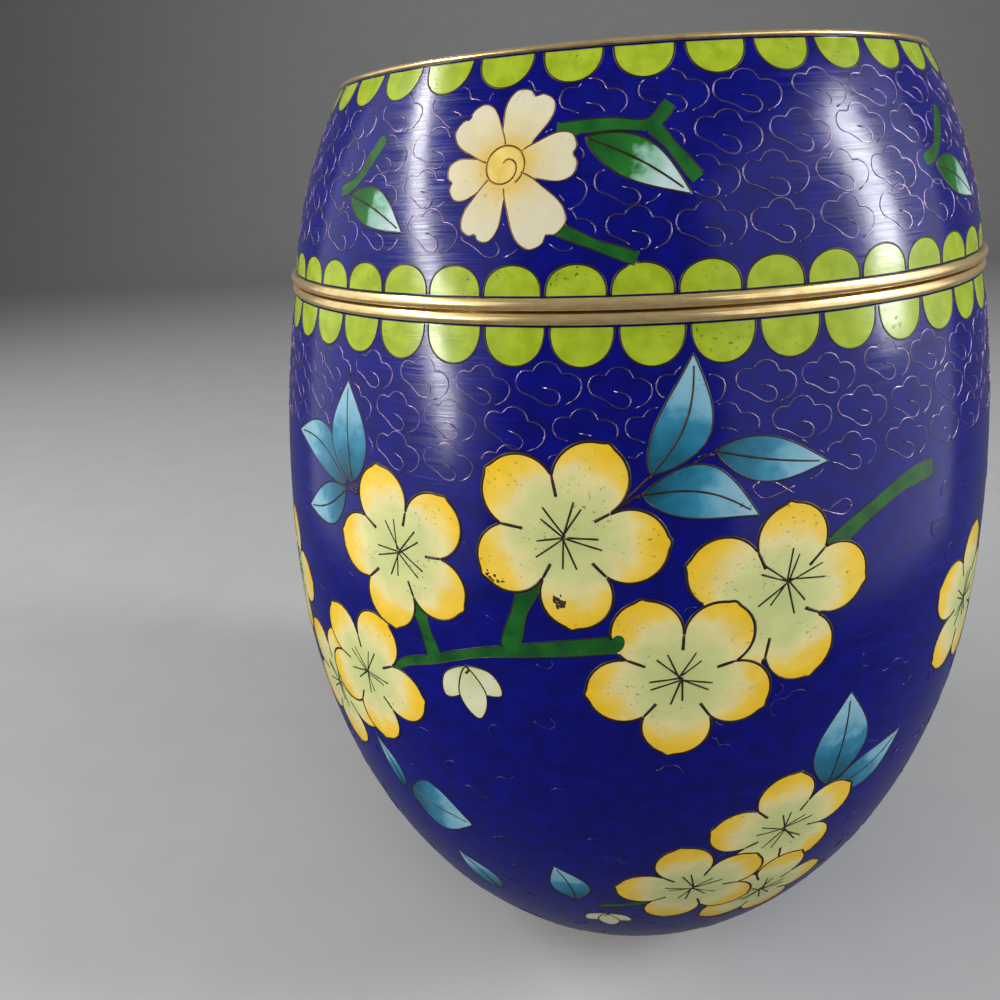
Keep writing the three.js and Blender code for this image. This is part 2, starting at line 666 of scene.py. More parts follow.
class EnamelSurface(EffectGroup):
    """Polishing scratches round the wall, cloudy colour and small dark pinholes.

    The grains are cycles of noise for each millimetre across and up.
    """

    SCRATCHES = (0.12, 7.0, 1.0)
    PATCHES = (0.35, 0.35, 1.0)
    GRAINS = (2.0, 2.0, 1.0)
    GRAINY_AREAS = (0.16, 0.16, 1.0)
    GRAINY = (0.5, 0.62)  # noise where pinholes begin and where they are thickest
    PINHOLES = (0.65, 0.71)  # noise from the edge of a pinhole to its middle
    PINHOLE = srgb(30, 24, 16)
    PINHOLE_ROUGHNESS = 0.4
    SCRATCHED = (0.35, 0.7)  # noise from the most polished to the most scratched
    ROUGHNESS = (0.1, 0.28)
    PATCH_HEIGHT = 1.5  # in heights of a scratch

    name = "EnamelSurface"
    inputs = (("Colour", "NodeSocketColor"), ("Mottle", "NodeSocketFloat"), ("Speckle", "NodeSocketFloat"),
              ("Dullness", "NodeSocketFloat"))
    outputs = (("Colour", "NodeSocketColor"), ("Roughness", "NodeSocketFloat"),
               ("Height", "NodeSocketFloat"))

    def wire(self, bench: NodeBench, given: bpy.types.NodeOutputs) -> dict[str, Socket]:
        """Joins the nodes of the enamel's surface.

        Args:
            bench: Where the nodes go.
            given: The group's inputs.

        Returns:
            What each output shows.
        """
        place = bench.attribute("unrolled")
        scratches = bench.noise(place, self.SCRATCHES, 3.0)
        patches = bench.noise(place, self.PATCHES, 2.0)
        grains = bench.noise(place, self.GRAINS, 1.0)
        where = bench.spread(bench.noise(place, self.GRAINY_AREAS, 1.0), *self.GRAINY)
        holes = bench.maths("MULTIPLY", bench.spread(grains, *self.PINHOLES), where)
        pinholes = bench.maths("MULTIPLY", holes, given["Speckle"])
        shift = bench.maths("MULTIPLY", bench.maths("SUBTRACT", patches, 0.5), given["Mottle"])
        light = bench.maths("ADD", 1.0, bench.maths("MULTIPLY", shift, 2.0))
        shaded = bench.add("ShaderNodeVectorMath", operation="SCALE")
        bench.feed(shaded.inputs[0], given["Colour"])
        bench.feed(shaded.inputs["Scale"], light)
        colour = bench.blend(pinholes, shaded.outputs[0], self.PINHOLE)
        worn = bench.spread(scratches, *self.SCRATCHED, *self.ROUGHNESS)
        roughness = bench.maths("ADD", bench.maths("ADD", worn, given["Dullness"]),
                                bench.maths("MULTIPLY", pinholes, self.PINHOLE_ROUGHNESS))
        uneven = bench.maths("ADD", scratches, bench.maths("MULTIPLY", patches, self.PATCH_HEIGHT))
        height = bench.maths("SUBTRACT", uneven, pinholes)
        return {"Colour": colour, "Roughness": roughness, "Height": height}


class MetalWear(EffectGroup):
    """Fine brushed lines and dull patches on metal, in cycles of noise for each millimetre."""

    LINES = (0.15, 9.0, 1.0)
    PATCHES = (0.45, 0.9, 1.0)
    LINES_SHARE = 0.4
    PATCHES_SHARE = 0.6
    WORN = (0.38, 0.62)  # noise from the brightest to the dullest

    name = "MetalWear"
    inputs = (("Bright", "NodeSocketColor"), ("Dull", "NodeSocketColor"))
    outputs = (("Colour", "NodeSocketColor"), ("Wear", "NodeSocketFloat"), ("Height", "NodeSocketFloat"))

    def wire(self, bench: NodeBench, given: bpy.types.NodeOutputs) -> dict[str, Socket]:
        """Joins the nodes of the metal's wear.

        Args:
            bench: Where the nodes go.
            given: The group's inputs.

        Returns:
            What each output shows.
        """
        place = bench.attribute("unrolled")
        lines = bench.noise(place, self.LINES, 3.0)
        patches = bench.noise(place, self.PATCHES, 3.0)
        by_lines = bench.maths("MULTIPLY", lines, self.LINES_SHARE)
        by_patches = bench.maths("MULTIPLY", patches, self.PATCHES_SHARE)
        wear = bench.spread(bench.maths("ADD", by_lines, by_patches), *self.WORN)
        return {"Colour": bench.blend(wear, given["Bright"], given["Dull"]), "Wear": wear, "Height": lines}


ENAMEL_SURFACE = EnamelSurface()
METAL_WEAR = MetalWear()


def new_material(name: str) -> tuple[Material, NodeBench, bpy.types.Node]:
    """Starts a material with one Principled shader.

    Args:
        name: The material's name.

    Returns:
        The material, its bench and its shader.
    """
    material = bpy.data.materials.new(name)
    material.use_nodes = True
    bench = NodeBench(material.node_tree)
    return material, bench, material.node_tree.nodes["Principled BSDF"]


def add_bump(bench: NodeBench, shader: bpy.types.Node, height: Socket, strength: float,
             depth: float) -> None:
    """Gives a shader a bumped surface.

    Args:
        bench: The material's bench.
        shader: Its shader.
        height: The bump's height.
        strength: How much of it shows.
        depth: Its depth in metres.
    """
    bump = bench.add("ShaderNodeBump")
    bump.inputs["Strength"].default_value = strength
    bump.inputs["Distance"].default_value = depth
    bench.feed(bump.inputs["Height"], height)
    bench.feed(shader.inputs["Normal"], bump.outputs["Normal"])


def enamel_material(tone: EnamelTone) -> Material:
    """Makes an enamel.

    Args:
        tone: Its colours and surface.

    Returns:
        The material.
    """
    material, bench, shader = new_material(tone.name)
    haze = bench.noise(bench.attribute("unrolled"), ENAMEL_HAZE, 3.0)
    if tone.measure is Measure.CLOUDY:
        measure = bench.spread(haze, *ENAMEL_HAZE_RANGE)
    else:
        if tone.measure is Measure.RADIAL:
            reader, result = bench.add("ShaderNodeVectorMath", operation="LENGTH"), "Value"
        else:
            reader, result = bench.add("ShaderNodeSeparateXYZ"), "Y"
        bench.feed(reader.inputs[0], bench.attribute("guide"))
        basis = reader.outputs[result]
        shift = bench.maths("MULTIPLY", bench.maths("SUBTRACT", haze, 0.5), 2 * tone.ragged)
        measure = bench.maths("ADD", basis, shift)
    surface = ENAMEL_SURFACE.use(bench, Colour=bench.ramp(measure, tone.stops), Mottle=tone.mottle,
                                 Speckle=tone.speckle, Dullness=tone.gloss_loss)
    bench.feed(shader.inputs["Base Color"], surface["Colour"])
    bench.feed(shader.inputs["Roughness"], surface["Roughness"])
    shader.inputs["Specular IOR Level"].default_value = ENAMEL_SHINE
    add_bump(bench, shader, surface["Height"], *ENAMEL_BUMP)
    return material


def metal_material(tone: MetalTone) -> Material:
    """Makes a metal.

    Args:
        tone: Its colours and wear.

    Returns:
        The material.
    """
    material, bench, shader = new_material(tone.name)
    wear = METAL_WEAR.use(bench, Bright=tone.bright, Dull=tone.dull)
    bench.feed(shader.inputs["Base Color"], wear["Colour"])
    roughness = bench.spread(wear["Wear"], 0.0, 1.0, tone.smoothest, tone.roughest)
    bench.feed(shader.inputs["Roughness"], roughness)
    shader.inputs["Metallic"].default_value = tone.metallic
    add_bump(bench, shader, wear["Height"], *METAL_BUMP)
    return material


# Drawing

@dataclass(frozen=True)
class Cell:
    """An area of one enamel, with the motif's place and size that its colours follow."""

    outline: Array
    enamel: Enamel
    spot: Spot
    size: float


@dataclass(frozen=True)
class Strand:
    """One wire, in flat coordinates."""

    path: Array
    finish: Wire
    width: float
    closed: bool


@dataclass
class Drawing:
    """The cells and wires laid on one canvas. A later cell covers an earlier one."""

    canvas: Canvas
    cells: list[Cell] = field(default_factory=list)
    strands: list[Strand] = field(default_factory=list)

    STEP = 0.4

    def fill(self, spot: Spot, outline: Array, enamel: Enamel, size: float) -> None:
        """Adds an area of enamel, and cuts away the wires that it covers.

        Args:
            spot: Where the motif is.
            outline: The area, in the motif's own millimetres.
            enamel: Its enamel.
            size: Length that the motif's colours follow.
        """
        placed = self.canvas.place(spot, outline)
        self.strands = [part for strand in self.strands for part in self._outside(strand, placed)]
        following = np.roll(placed, -1, 0)
        area = (placed[:, 0] * following[:, 1] - following[:, 0] * placed[:, 1]).sum()
        self.cells.append(Cell(placed if area > 0 else placed[::-1], enamel, spot, size))

    def wire(self, spot: Spot, path: Array, finish: Wire, width: float, closed: bool = False) -> None:
        """Adds a wire along a route given in the motif's own millimetres."""
        placed = self.canvas.place(spot, dense(np.asarray(path, float), closed, self.STEP))
        self.strands.append(Strand(placed, finish, width, closed))

    def edge(self, spot: Spot, outline: Array, enamel: Enamel, size: float, finish: Wire,
             width: float) -> None:
        """Adds an area of enamel with a wire round it."""
        self.fill(spot, outline, enamel, size)
        self.wire(spot, outline, finish, width, closed=True)

    @staticmethod
    def covered(drawn: Array, margin: float, cells: list[Cell]) -> Array:
        """Finds which points lie in a cell or close to one.

        Args:
            drawn: Flat coordinates.
            margin: How close counts, in millimetres.
            cells: The cells that count.

        Returns:
            One truth value for each point.
        """
        found = np.zeros(len(drawn), bool)
        nudges = margin * np.array([(0, 0), (1, 0), (-1, 0), (0, 1), (0, -1)], float)
        for cell in cells:
            low, high = cell.outline.min(0) - margin, cell.outline.max(0) + margin
            near = np.flatnonzero(((drawn > low) & (drawn < high)).all(1) & ~found)
            if len(near):
                found[near] = np.any([lies_inside(drawn[near] + nudge, cell.outline) for nudge in nudges], 0)
        return found

    @staticmethod
    def _outside(strand: Strand, outline: Array) -> list[Strand]:
        """Cuts away the part of a wire that an area covers.

        Args:
            strand: The wire.
            outline: The area, in flat coordinates.

        Returns:
            The stretches that show.
        """
        if (strand.path.max(0) < outline.min(0)).any() or (strand.path.min(0) > outline.max(0)).any():
            return [strand]
        hidden = lies_inside(strand.path, outline)
        if not hidden.any():
            return [strand]
        runs = shown_runs(strand.path, hidden, strand.closed)
        return [replace(strand, path=run, closed=False) for run in runs]


def shown_runs(path: Array, hidden: Array, closed: bool) -> list[Array]:
    """Cuts a path where it is hidden.

    Args:
        path: The whole route.
        hidden: One truth value for each of its points.
        closed: Whether it returns to its start.

    Returns:
        The stretches that show, of three points or more.
    """
    if closed and hidden.any():
        first = int(np.flatnonzero(hidden)[0])
        path, hidden = np.roll(path, -first, 0), np.roll(hidden, -first)
    cuts = np.flatnonzero(np.diff(hidden.astype(int))) + 1
    pieces = zip(np.split(path, cuts), np.split(hidden, cuts))
    return [run for run, gone in pieces if not gone[0] and len(run) >= 3]


class Motif(ABC):
    """Something drawn on a canvas."""

    @abstractmethod
    def draw(self, drawing: Drawing) -> None:
        """Adds the motif's cells and wires to a drawing."""


@dataclass(frozen=True)
class Blossom(Motif):
    """A five-petalled plum blossom with round petals and dark stamens."""

    spot: Spot
    radius: float = 10.9
    heart: Pair = (0.0, 0.0)
    petals: int = 5
    seed: int = 1

    REACHES = (0.61, 0.64)  # shares of the radius, as are the next two
    ROUNDS = (0.365, 0.385)
    STAMENS = (0.28, 0.4)
    PETAL_POINTS = 40
    PETAL_STRAY = 3  # degrees
    TIPS = (0.42, 0.58)  # shares of the way round a petal
    TIP_RISE = 0.08  # share of a petal's own radius
    TIP_BREADTH = 6  # degrees
    CLEFT_END = 0.66  # share of the way out to the cleft
    STAMEN_SIDES = (-10, 10)  # degrees, as is the next one
    STAMEN_STRAY = 5
    ROOT_STRAY = 0.3
    EDGE_WIDTH = 0.54
    CLEFT_WIDTH = 0.5
    STAMEN_WIDTH = 0.3

    def draw(self, drawing: Drawing) -> None:
        """Draws the petals, the clefts between them and the stamens.

        Args:
            drawing: Where the cells and wires go.
        """
        chance = random.Random(self.seed)
        pitch = 360 / self.petals
        headings = [pitch * k + self._stray(chance, self.PETAL_STRAY) for k in range(self.petals)]
        reaches = [self.radius * chance.uniform(*self.REACHES) for _ in headings]
        rounds = [self.radius * chance.uniform(*self.ROUNDS) for _ in headings]
        middles = [point_at(reach, heading) for reach, heading in zip(reaches, headings)]
        clefts = [self._cleft(middles[k - 1], rounds[k - 1], middles[k], rounds[k])
                  for k in range(self.petals)]
        outline = np.vstack([
            self._petal(middles[k], rounds[k], clefts[k], clefts[(k + 1) % self.petals], chance)
            for k in range(self.petals)])
        drawing.edge(self.spot, outline, Enamel.PETAL, self.radius, Wire.DARK, self.EDGE_WIDTH)
        for cleft in clefts:
            inward = np.linspace(cleft, self.CLEFT_END * cleft, 4)
            drawing.wire(self.spot, inward, Wire.DARK, self.CLEFT_WIDTH)
        for heading in headings:
            for side in self.STAMEN_SIDES:
                angle = heading + side + self._stray(chance, self.STAMEN_STRAY)
                tip = point_at(self.radius * chance.uniform(*self.STAMENS), angle, self.heart)
                root = np.add(self.heart, [self._stray(chance, self.ROOT_STRAY) for _ in self.heart])
                drawing.wire(self.spot, np.linspace(root, tip, 4), Wire.DARK, self.STAMEN_WIDTH)

    @staticmethod
    def _stray(chance: random.Random, most: float) -> float:
        """Strays by chance to either side."""
        return chance.uniform(-most, most)

    @staticmethod
    def _cleft(first: Array, first_round: float, second: Array, second_round: float) -> Array:
        """Finds where two round petals meet, on the outer side.

        Args:
            first: Middle of one petal.
            first_round: Its radius.
            second: Middle of the next petal.
            second_round: Its radius.

        Returns:
            The meeting point.
        """
        step = second - first
        apart = float(np.hypot(*step))
        along = (first_round**2 - second_round**2 + apart**2) / (2 * apart)
        out = math.sqrt(max(first_round**2 - along**2, 0.0))
        normal = np.array([-step[1], step[0]]) / apart
        middle = first + along * step / apart
        return max(middle + out * normal, middle - out * normal, key=lambda p: float(np.hypot(*p)))

    @staticmethod
    def _petal(middle: Array, radius: float, start: Array, end: Array, chance: random.Random) -> Array:
        """Runs round one petal, with a small point somewhere on it.

        Args:
            middle: Middle of the petal.
            radius: Its radius.
            start: Cleft where it starts.
            end: Cleft where it ends.
            chance: Source of chance.

        Returns:
            Points along its edge.
        """
        bearings = [math.degrees(math.atan2(*(point - middle))) for point in (start, end)]
        sweep = (bearings[1] - bearings[0]) % 360
        tip = sweep * chance.uniform(*Blossom.TIPS)
        turns = np.linspace(0, sweep, Blossom.PETAL_POINTS + 1)[:-1]
        angles = np.radians(bearings[0] + turns)
        radii = radius * (1 + Blossom.TIP_RISE * np.exp(-((turns - tip) / Blossom.TIP_BREADTH) ** 2))
        return middle + np.stack([radii * np.sin(angles), radii * np.cos(angles)], 1)


@dataclass(frozen=True)
class CurledFlower(Motif):
    """A cream flower with notched petals round a heart that holds a curl of wire.

    Each petal has a heading clockwise from up, a length and a width.
    """

    spot: Spot
    heart: float = 2.1

    SHADE_LENGTH = 8.0
    EDGE_WIDTH = 0.26
    CURL_WIDTH = 0.3
    HEART_SHARE = 0.9  # of the curl's radius
    CURL_START = 2.4  # turns
    CURL_STOP = 0.9
    CURL_END = 0.18  # share of the curl's radius where it stops
    CURL_POINTS = 20  # on the round part, and as many on the part that runs inward
    PETALS = ((19, 8.0, 5.3), (83, 7.5, 5.0), (256, 6.7, 4.4), (318, 7.4, 5.3), (203, 7.9, 4.4),
              (145, 9.2, 5.7))
    SIDE = np.array([(0.0, 0.04), (0.5, 0.24), (0.76, 0.46), (1.0, 0.74), (0.82, 0.94), (0.28, 0.99)])
    NOTCH = np.array([(0.0, 0.93)])

    def draw(self, drawing: Drawing) -> None:
        """Draws the petals, the heart and its curl.

        Args:
            drawing: Where the cells and wires go.
        """
        half = np.vstack([self.SIDE, self.NOTCH, self.SIDE[:0:-1] * (-1, 1)])
        for heading, length, width in self.PETALS:
            placed = replace(self.spot, spin=self.spot.spin + heading)
            petal = smooth(half * (width / 2, length), 4, closed=True)
            drawing.edge(placed, petal, Enamel.CREAM, self.SHADE_LENGTH, Wire.BROWN, self.EDGE_WIDTH)
        drawing.fill(self.spot, disc(self.HEART_SHARE * self.heart), Enamel.HEART, self.SHADE_LENGTH)
        turns = np.linspace(self.CURL_START * FULL_TURN, self.CURL_STOP * FULL_TURN, 2 * self.CURL_POINTS)
        inward = np.linspace(1.0, self.CURL_END, self.CURL_POINTS)
        radii = self.heart * np.concatenate([np.full(self.CURL_POINTS, 1.0), inward])
        curl = np.stack([radii * np.sin(turns), radii * np.cos(turns)], 1)
        drawing.wire(self.spot, curl, Wire.BROWN, self.CURL_WIDTH)


@dataclass(frozen=True)
class Leaf(Motif):
    """A pointed leaf with a midrib, from its base to its tip."""

    base: Pair
    tip: Pair
    width: float
    enamel: Enamel = Enamel.TEAL
    bow: float = 0.08
    stalk: Pair | None = None

    STALK_WIDTH = 0.42
    STALK_BOW = (0.2, 0.2)
    EDGE_WIDTH = 0.32
    RIB_WIDTH = 0.3

    def draw(self, drawing: Drawing) -> None:
        """Draws the stalk, the blade and the midrib.

        Args:
            drawing: Where the cells and wires go.
        """
        start = Spot(*self.base)
        right, up = drawing.canvas.reach(start, Spot(*self.tip))
        length = math.hypot(right, up)
        spot = replace(start, spin=math.degrees(math.atan2(right, up)))
        if self.stalk:
            end = drawing.canvas.reach(start, Spot(*self.stalk))
            stalk = smooth([(0, 0), end / 2 + self.STALK_BOW, end], 5)
            drawing.wire(start, stalk, Wire.DARK, self.STALK_WIDTH)
        share = np.linspace(0, 1, 23)
        bend = self.bow * length * np.sin(math.pi * share)
        # Fullest below the middle, and drawn out towards the tip
        half = self.width / 2 * np.sin(math.pi * share**0.85) ** 0.9 * (1.12 - 0.3 * share**3)
        middle = np.stack([bend, share * length], 1)
        right_side, left_side = middle + np.outer(half, (1, 0)), middle - np.outer(half, (1, 0))
        outline = np.vstack([right_side, left_side[-2:0:-1]])
        drawing.edge(spot, outline, self.enamel, length, Wire.DARK, self.EDGE_WIDTH)
        drawing.wire(spot, middle[:-2], Wire.DARK, self.RIB_WIDTH)


@dataclass(frozen=True)
class Branch(Motif):
    """A green branch through chosen spots."""

    route: tuple[Pair, ...]
    width: float
    taper: float = 1.0

    SHADE_LENGTH = 10.0
    EDGE_WIDTH = 0.24
    JOIN_MARGIN = 0.1
    SWELL = 0.12
    SWELL_TURNS = 9  # radians from end to end

    def draw(self, drawing: Drawing) -> None:
        """Draws the branch, with no wire where it joins another.

        Args:
            drawing: Where the cells and wires go.
        """
        start = Spot(*self.route[0])
        line = smooth([drawing.canvas.reach(start, Spot(*place)) for place in self.route], 12)
        ahead = np.gradient(line, axis=0)
        ahead /= np.linalg.norm(ahead, axis=1, keepdims=True)
        waves = 1 + self.SWELL * np.sin(np.linspace(0, self.SWELL_TURNS, len(line)))
        half = self.width / 2 * waves * np.linspace(self.taper, 1, len(line))
        side = np.stack([ahead[:, 1], -ahead[:, 0]], 1) * half[:, None]
        joined = [cell for cell in drawing.cells if cell.enamel is Enamel.STEM]
        drawing.fill(start, np.vstack([line + side, (line - side)[::-1]]), Enamel.STEM, self.SHADE_LENGTH)
        for edge in (line + side, line - side):
            placed = drawing.canvas.place(start, edge)
            for run in shown_runs(placed, drawing.covered(placed, self.JOIN_MARGIN, joined), closed=False):
                drawing.strands.append(Strand(run, Wire.DARK, self.EDGE_WIDTH, False))


@dataclass(frozen=True)
class Knot(Motif):
    """A green knot where a branch runs over a petal."""

    spot: Spot
    size: float

    BREADTH = 0.7  # share of the size

    def draw(self, drawing: Drawing) -> None:
        """Draws the knot."""
        outline = disc(self.size) * (self.BREADTH, 1.0)
        drawing.fill(self.spot, outline, Enamel.STEM, self.size)


@dataclass(frozen=True)
class Bud(Motif):
    """A white bud of three pointed petals that opens from its stem.

    Each petal leans by an angle, and has shares of the bud's length for its own length and breadth.
    """

    spot: Spot
    length: float = 7.0

    PETALS = ((44, 0.8, 0.46), (-46, 0.76, 0.46), (0, 1.0, 0.52))
    SIDE = np.array([(0, 0), (0.3, 0.2), (0.5, 0.5), (0.36, 0.8), (0, 1.0)])
    STEM = ((0, -0.3), (-0.4, 0.4), (0.2, 0.9))
    EDGE_WIDTH = 0.32
    STEM_WIDTH = 0.5

    def draw(self, drawing: Drawing) -> None:
        """Draws the petals and the stem.

        Args:
            drawing: Where the cells and wires go.
        """
        for lean, share, broad in self.PETALS:
            placed = replace(self.spot, spin=self.spot.spin + lean)
            length = share * self.length
            half = self.SIDE * (broad * self.length, length)
            outline = smooth(np.vstack([half, half[-2:0:-1] * (-1, 1)]), 3, closed=True)
            drawing.edge(placed, outline, Enamel.BUD, length, Wire.DARK, self.EDGE_WIDTH)
        drawing.wire(self.spot, smooth(self.STEM, 4), Wire.DARK, self.STEM_WIDTH)


@dataclass(frozen=True)
class ScallopBand(Motif):
    """A row of round lime scallops along an edge."""

    edge_up: float
    count: int
    width: float
    depth: float
    stands: bool
    first: float
    plan_radius: float | None = None

    EDGE_WIDTH = 0.34
    BLUNTNESS = 0.8

    def draw(self, drawing: Drawing) -> None:
        """Draws every scallop.

        Args:
            drawing: Where the cells and wires go.
        """
        cut = drawing.canvas.cut
        angles = np.linspace(0, math.pi, 25)
        heights = self.depth * np.sin(angles) ** self.BLUNTNESS
        scallop = np.stack([self.width / 2 * np.cos(angles), heights], 1)
        for k in range(self.count):
            turned = cut + (self.first + 360 / self.count * (k + 0.5) - cut) % 360
            if self.plan_radius is None:
                spot = Spot(turned, self.edge_up, 0.0 if self.stands else 180.0)
            else:
                x, y = point_at(self.plan_radius, turned)
                spot = Spot(float(x), float(y), turned + 180)
            drawing.fill(spot, scallop, Enamel.LIME, self.depth)
            drawing.wire(spot, scallop, Wire.DARK, self.EDGE_WIDTH)


@dataclass(frozen=True)
class Chip(Motif):
    """A cluster of small chips in the enamel."""

    spot: Spot
    length: float
    width: float
    seed: int = 3

    COUNT = 14
    SIZES = (0.1, 0.3)  # shares of the width
    RAGGEDNESS = (0.5, 1.3)
    STRETCH = 1.3

    def draw(self, drawing: Drawing) -> None:
        """Draws the chips.

        Args:
            drawing: Where the cells and wires go.
        """
        chance = random.Random(self.seed)
        for _ in range(self.COUNT):
            middle = np.array([chance.uniform(-0.5, 0.5) * size for size in (self.width, self.length)])
            size = chance.uniform(*self.SIZES) * self.width
            angles = np.linspace(0, FULL_TURN, 9)[:-1]
            radii = np.array([size * chance.uniform(*self.RAGGEDNESS) for _ in angles])
            ragged = middle + np.stack([radii * np.sin(angles), self.STRETCH * radii * np.cos(angles)], 1)
            drawing.fill(self.spot, ragged, Enamel.CHIP, self.length)


@dataclass(frozen=True)
class Teardrop(Motif):
    """A loop of bright wire shaped like a drop."""

    spot: Spot
    length: float

    SHAPE = np.array([(0.1, -0.12), (-0.16, 0.4), (-0.24, 0.74), (0.0, 1.0), (0.24, 0.74), (0.16, 0.4),
                      (-0.1, -0.12)])
    BARE_RADIUS = 0.7  # shares of the length
    BARE_MIDDLE = 0.4
    BARE_BREADTH = 0.6
    WIRE_WIDTH = 0.3

    def draw(self, drawing: Drawing) -> None:
        """Draws the loop on bare ground.

        Args:
            drawing: Where the cells and wires go.
        """
        bare = disc(self.BARE_RADIUS * self.length) * (self.BARE_BREADTH, 1.0)
        bare += (0, self.BARE_MIDDLE * self.length)
        drawing.fill(self.spot, bare, Enamel.GROUND, self.length)
        drawing.wire(self.spot, smooth(self.SHAPE * self.length, 4), Wire.BRIGHT, self.WIRE_WIDTH)


@dataclass(frozen=True)
class CloudGround(Motif):
    """Rows of curled cloud wires on the bare ground between the other motifs."""

    lowest: float
    highest: float
    # Level below which clouds are worn short and take the dark wire copy that paints the shade of the lower
    # wall
    shade_and_wear_below: float
    seed: int

    ROW_PITCH = 4.35
    PITCH = 7.45
    STRAY_ACROSS = 0.4  # degrees
    STRAY_UP = 0.3
    LEAN = 5  # degrees
    STARTS = (-0.8, 0.6)  # where a worn cloud starts along its wire: below zero, none is left
    STRETCHES = (0.1, 0.4)  # how much of a worn cloud is left
    SIZES = (0.94, 1.04)
    WIRE_WIDTH = 0.22
    MARGIN = 0.3
    CURL = ((-0.7, -0.25), (0.6, -0.6), (1.1, -1.4), (0.6, -2.1), (-0.5, -2.0), (-1.5, -1.3),
            (-2.3, -0.85), (-3.1, -0.5), (-3.45, 0.35), (-3.1, 1.25), (-2.4, 1.55), (-1.6, 1.45),
            (-1.45, 1.6), (-0.9, 2.15), (0.0, 2.3), (0.9, 1.9), (1.3, 1.15), (1.5, 1.0), (2.3, 0.95),
            (3.2, 0.3), (3.3, -0.7), (2.7, -1.6), (1.6, -2.15))

    def draw(self, drawing: Drawing) -> None:
        """Draws every cloud: above a level whole in the bright wire, below it worn to short stretches in a
        dark blue copy of the wire that paints the shade of the lower wall.

        Args:
            drawing: Where the cells and wires go.
        """
        chance = random.Random(self.seed)
        curl = smooth(self.CURL, 2)
        rows = int((self.highest - self.lowest) / self.ROW_PITCH)
        for row in range(rows + 1):
            up = self.highest - row * self.ROW_PITCH
            count = int(FULL_TURN * drawing.canvas.radius(up) / self.PITCH)
            for k in range(count):
                across = (k + 0.5 * (row % 2) + 0.5) * 360 / count + drawing.canvas.cut
                stray_across = chance.uniform(-self.STRAY_ACROSS, self.STRAY_ACROSS)
                stray_up = chance.uniform(-self.STRAY_UP, self.STRAY_UP)
                spot = Spot(across + stray_across, up + stray_up, chance.uniform(-self.LEAN, self.LEAN))
                start, kept = chance.uniform(*self.STARTS), chance.uniform(*self.STRETCHES)
                shown = (0.0, 1.0) if up > self.shade_and_wear_below else (max(start, 0.0), max(start, 0.0) + kept)
                first, last = (int(share * len(curl)) for share in shown)
                if up > self.shade_and_wear_below or start > 0:
                    self._cloud(drawing, spot, curl[first:last] * chance.uniform(*self.SIZES))

    def _cloud(self, drawing: Drawing, spot: Spot, curl: Array) -> None:
        """Draws one cloud where no other motif covers it, away from the cut.

        Args:
            drawing: Where the wire goes.
            spot: Middle of the cloud.
            curl: Its wire, in its own millimetres.
        """
        placed = drawing.canvas.place(spot, curl)
        edge = math.radians(drawing.canvas.cut) * WallCanvas.SPREAD
        if placed[:, 0].min() < edge or placed[:, 0].max() > edge + FULL_TURN * WallCanvas.SPREAD:
            return
        # Below the level the wire takes its dark copy, which is painted shade and not a different wire
        finish = Wire.BRIGHT if spot.up > self.shade_and_wear_below else Wire.SHADED
        for run in shown_runs(placed, drawing.covered(placed, self.MARGIN, drawing.cells), closed=False):
            drawing.strands.append(Strand(run, finish, self.WIRE_WIDTH, False))


# Meshes

WELD = 1e-7  # metres within which corners become one
TILE_ACCURACY = 1e-5  # millimetres
NO_GUIDE = (0.0, 0.0, 0.0)


@dataclass
class Patch:
    """Part of a mesh, with its own vertices until the patches are welded."""

    points: Array
    normals: Array
    unrolled: Array
    faces: list[list[int]]
    slots: list[int]
    guides: Array | None = None


def linked(name: str, data: bpy.types.ID) -> Piece:
    """Puts a mesh, a light or a camera into the scene.

    Args:
        name: The object's name.
        data: What it shows.

    Returns:
        The new object.
    """
    made = bpy.data.objects.new(name, data)
    bpy.context.scene.collection.objects.link(made)
    return made


def turned_patch(profile: Array, slot: int, columns: int, start: float, cut: float) -> Patch:
    """Turns a smooth stretch of profile about the axis.

    Args:
        profile: Rows of radius and level in millimetres, running up the outside and down the inside.
        slot: Material slot.
        columns: Divisions round the axis.
        start: Length along the whole outline where the stretch starts.
        cut: Angle in degrees of the first column.

    Returns:
        The patch.
    """
    steps = np.diff(profile, axis=0)
    lengths = start + np.concatenate([[0.0], np.cumsum(np.hypot(*steps.T))])
    slope = np.gradient(profile, lengths, axis=0) if len(profile) > 2 else np.repeat(steps, 2, 0)
    slope = slope / np.linalg.norm(slope, axis=1, keepdims=True)
    wide = columns + 1
    angles = np.radians(cut + np.linspace(0, 360, wide))
    round_x, round_y = np.sin(angles), -np.cos(angles)
    radii, levels = profile.T
    points = np.stack([np.outer(radii, round_x), np.outer(radii, round_y),
                       np.repeat(levels[:, None], wide, 1)], 2)
    normals = np.stack([np.outer(slope[:, 1], round_x), np.outer(slope[:, 1], round_y),
                        np.repeat(-slope[:, :1], wide, 1)], 2)
    unrolled = np.stack([np.repeat(angles[None] * WallCanvas.SPREAD, len(profile), 0),
                         np.repeat(lengths[:, None], wide, 1)], 2)
    faces = [[i * wide + j, i * wide + j + 1, (i + 1) * wide + j + 1, (i + 1) * wide + j]
             for i in range(len(profile) - 1) for j in range(columns)]
    return Patch(MM * points.reshape(-1, 3), normals.reshape(-1, 3), unrolled.reshape(-1, 2), faces,
                 [slot] * len(faces))


def turned_patches(stretches: list[tuple[Array, int]], columns: int, start: float,
                   cut: float) -> list[Patch]:
    """Turns stretches of profile that follow one another about the axis.

    Args:
        stretches: The profile and material slot of each.
        columns: Divisions round the axis.
        start: Length along the whole outline where the first one starts.
        cut: Angle in degrees of the first column.

    Returns:
        One patch for each stretch.
    """
    patches = []
    for stretch, slot in stretches:
        profile = np.asarray(stretch, float)
        patches.append(turned_patch(profile, slot, columns, start, cut))
        start += float(np.hypot(*np.diff(profile, axis=0).T).sum())
    return patches


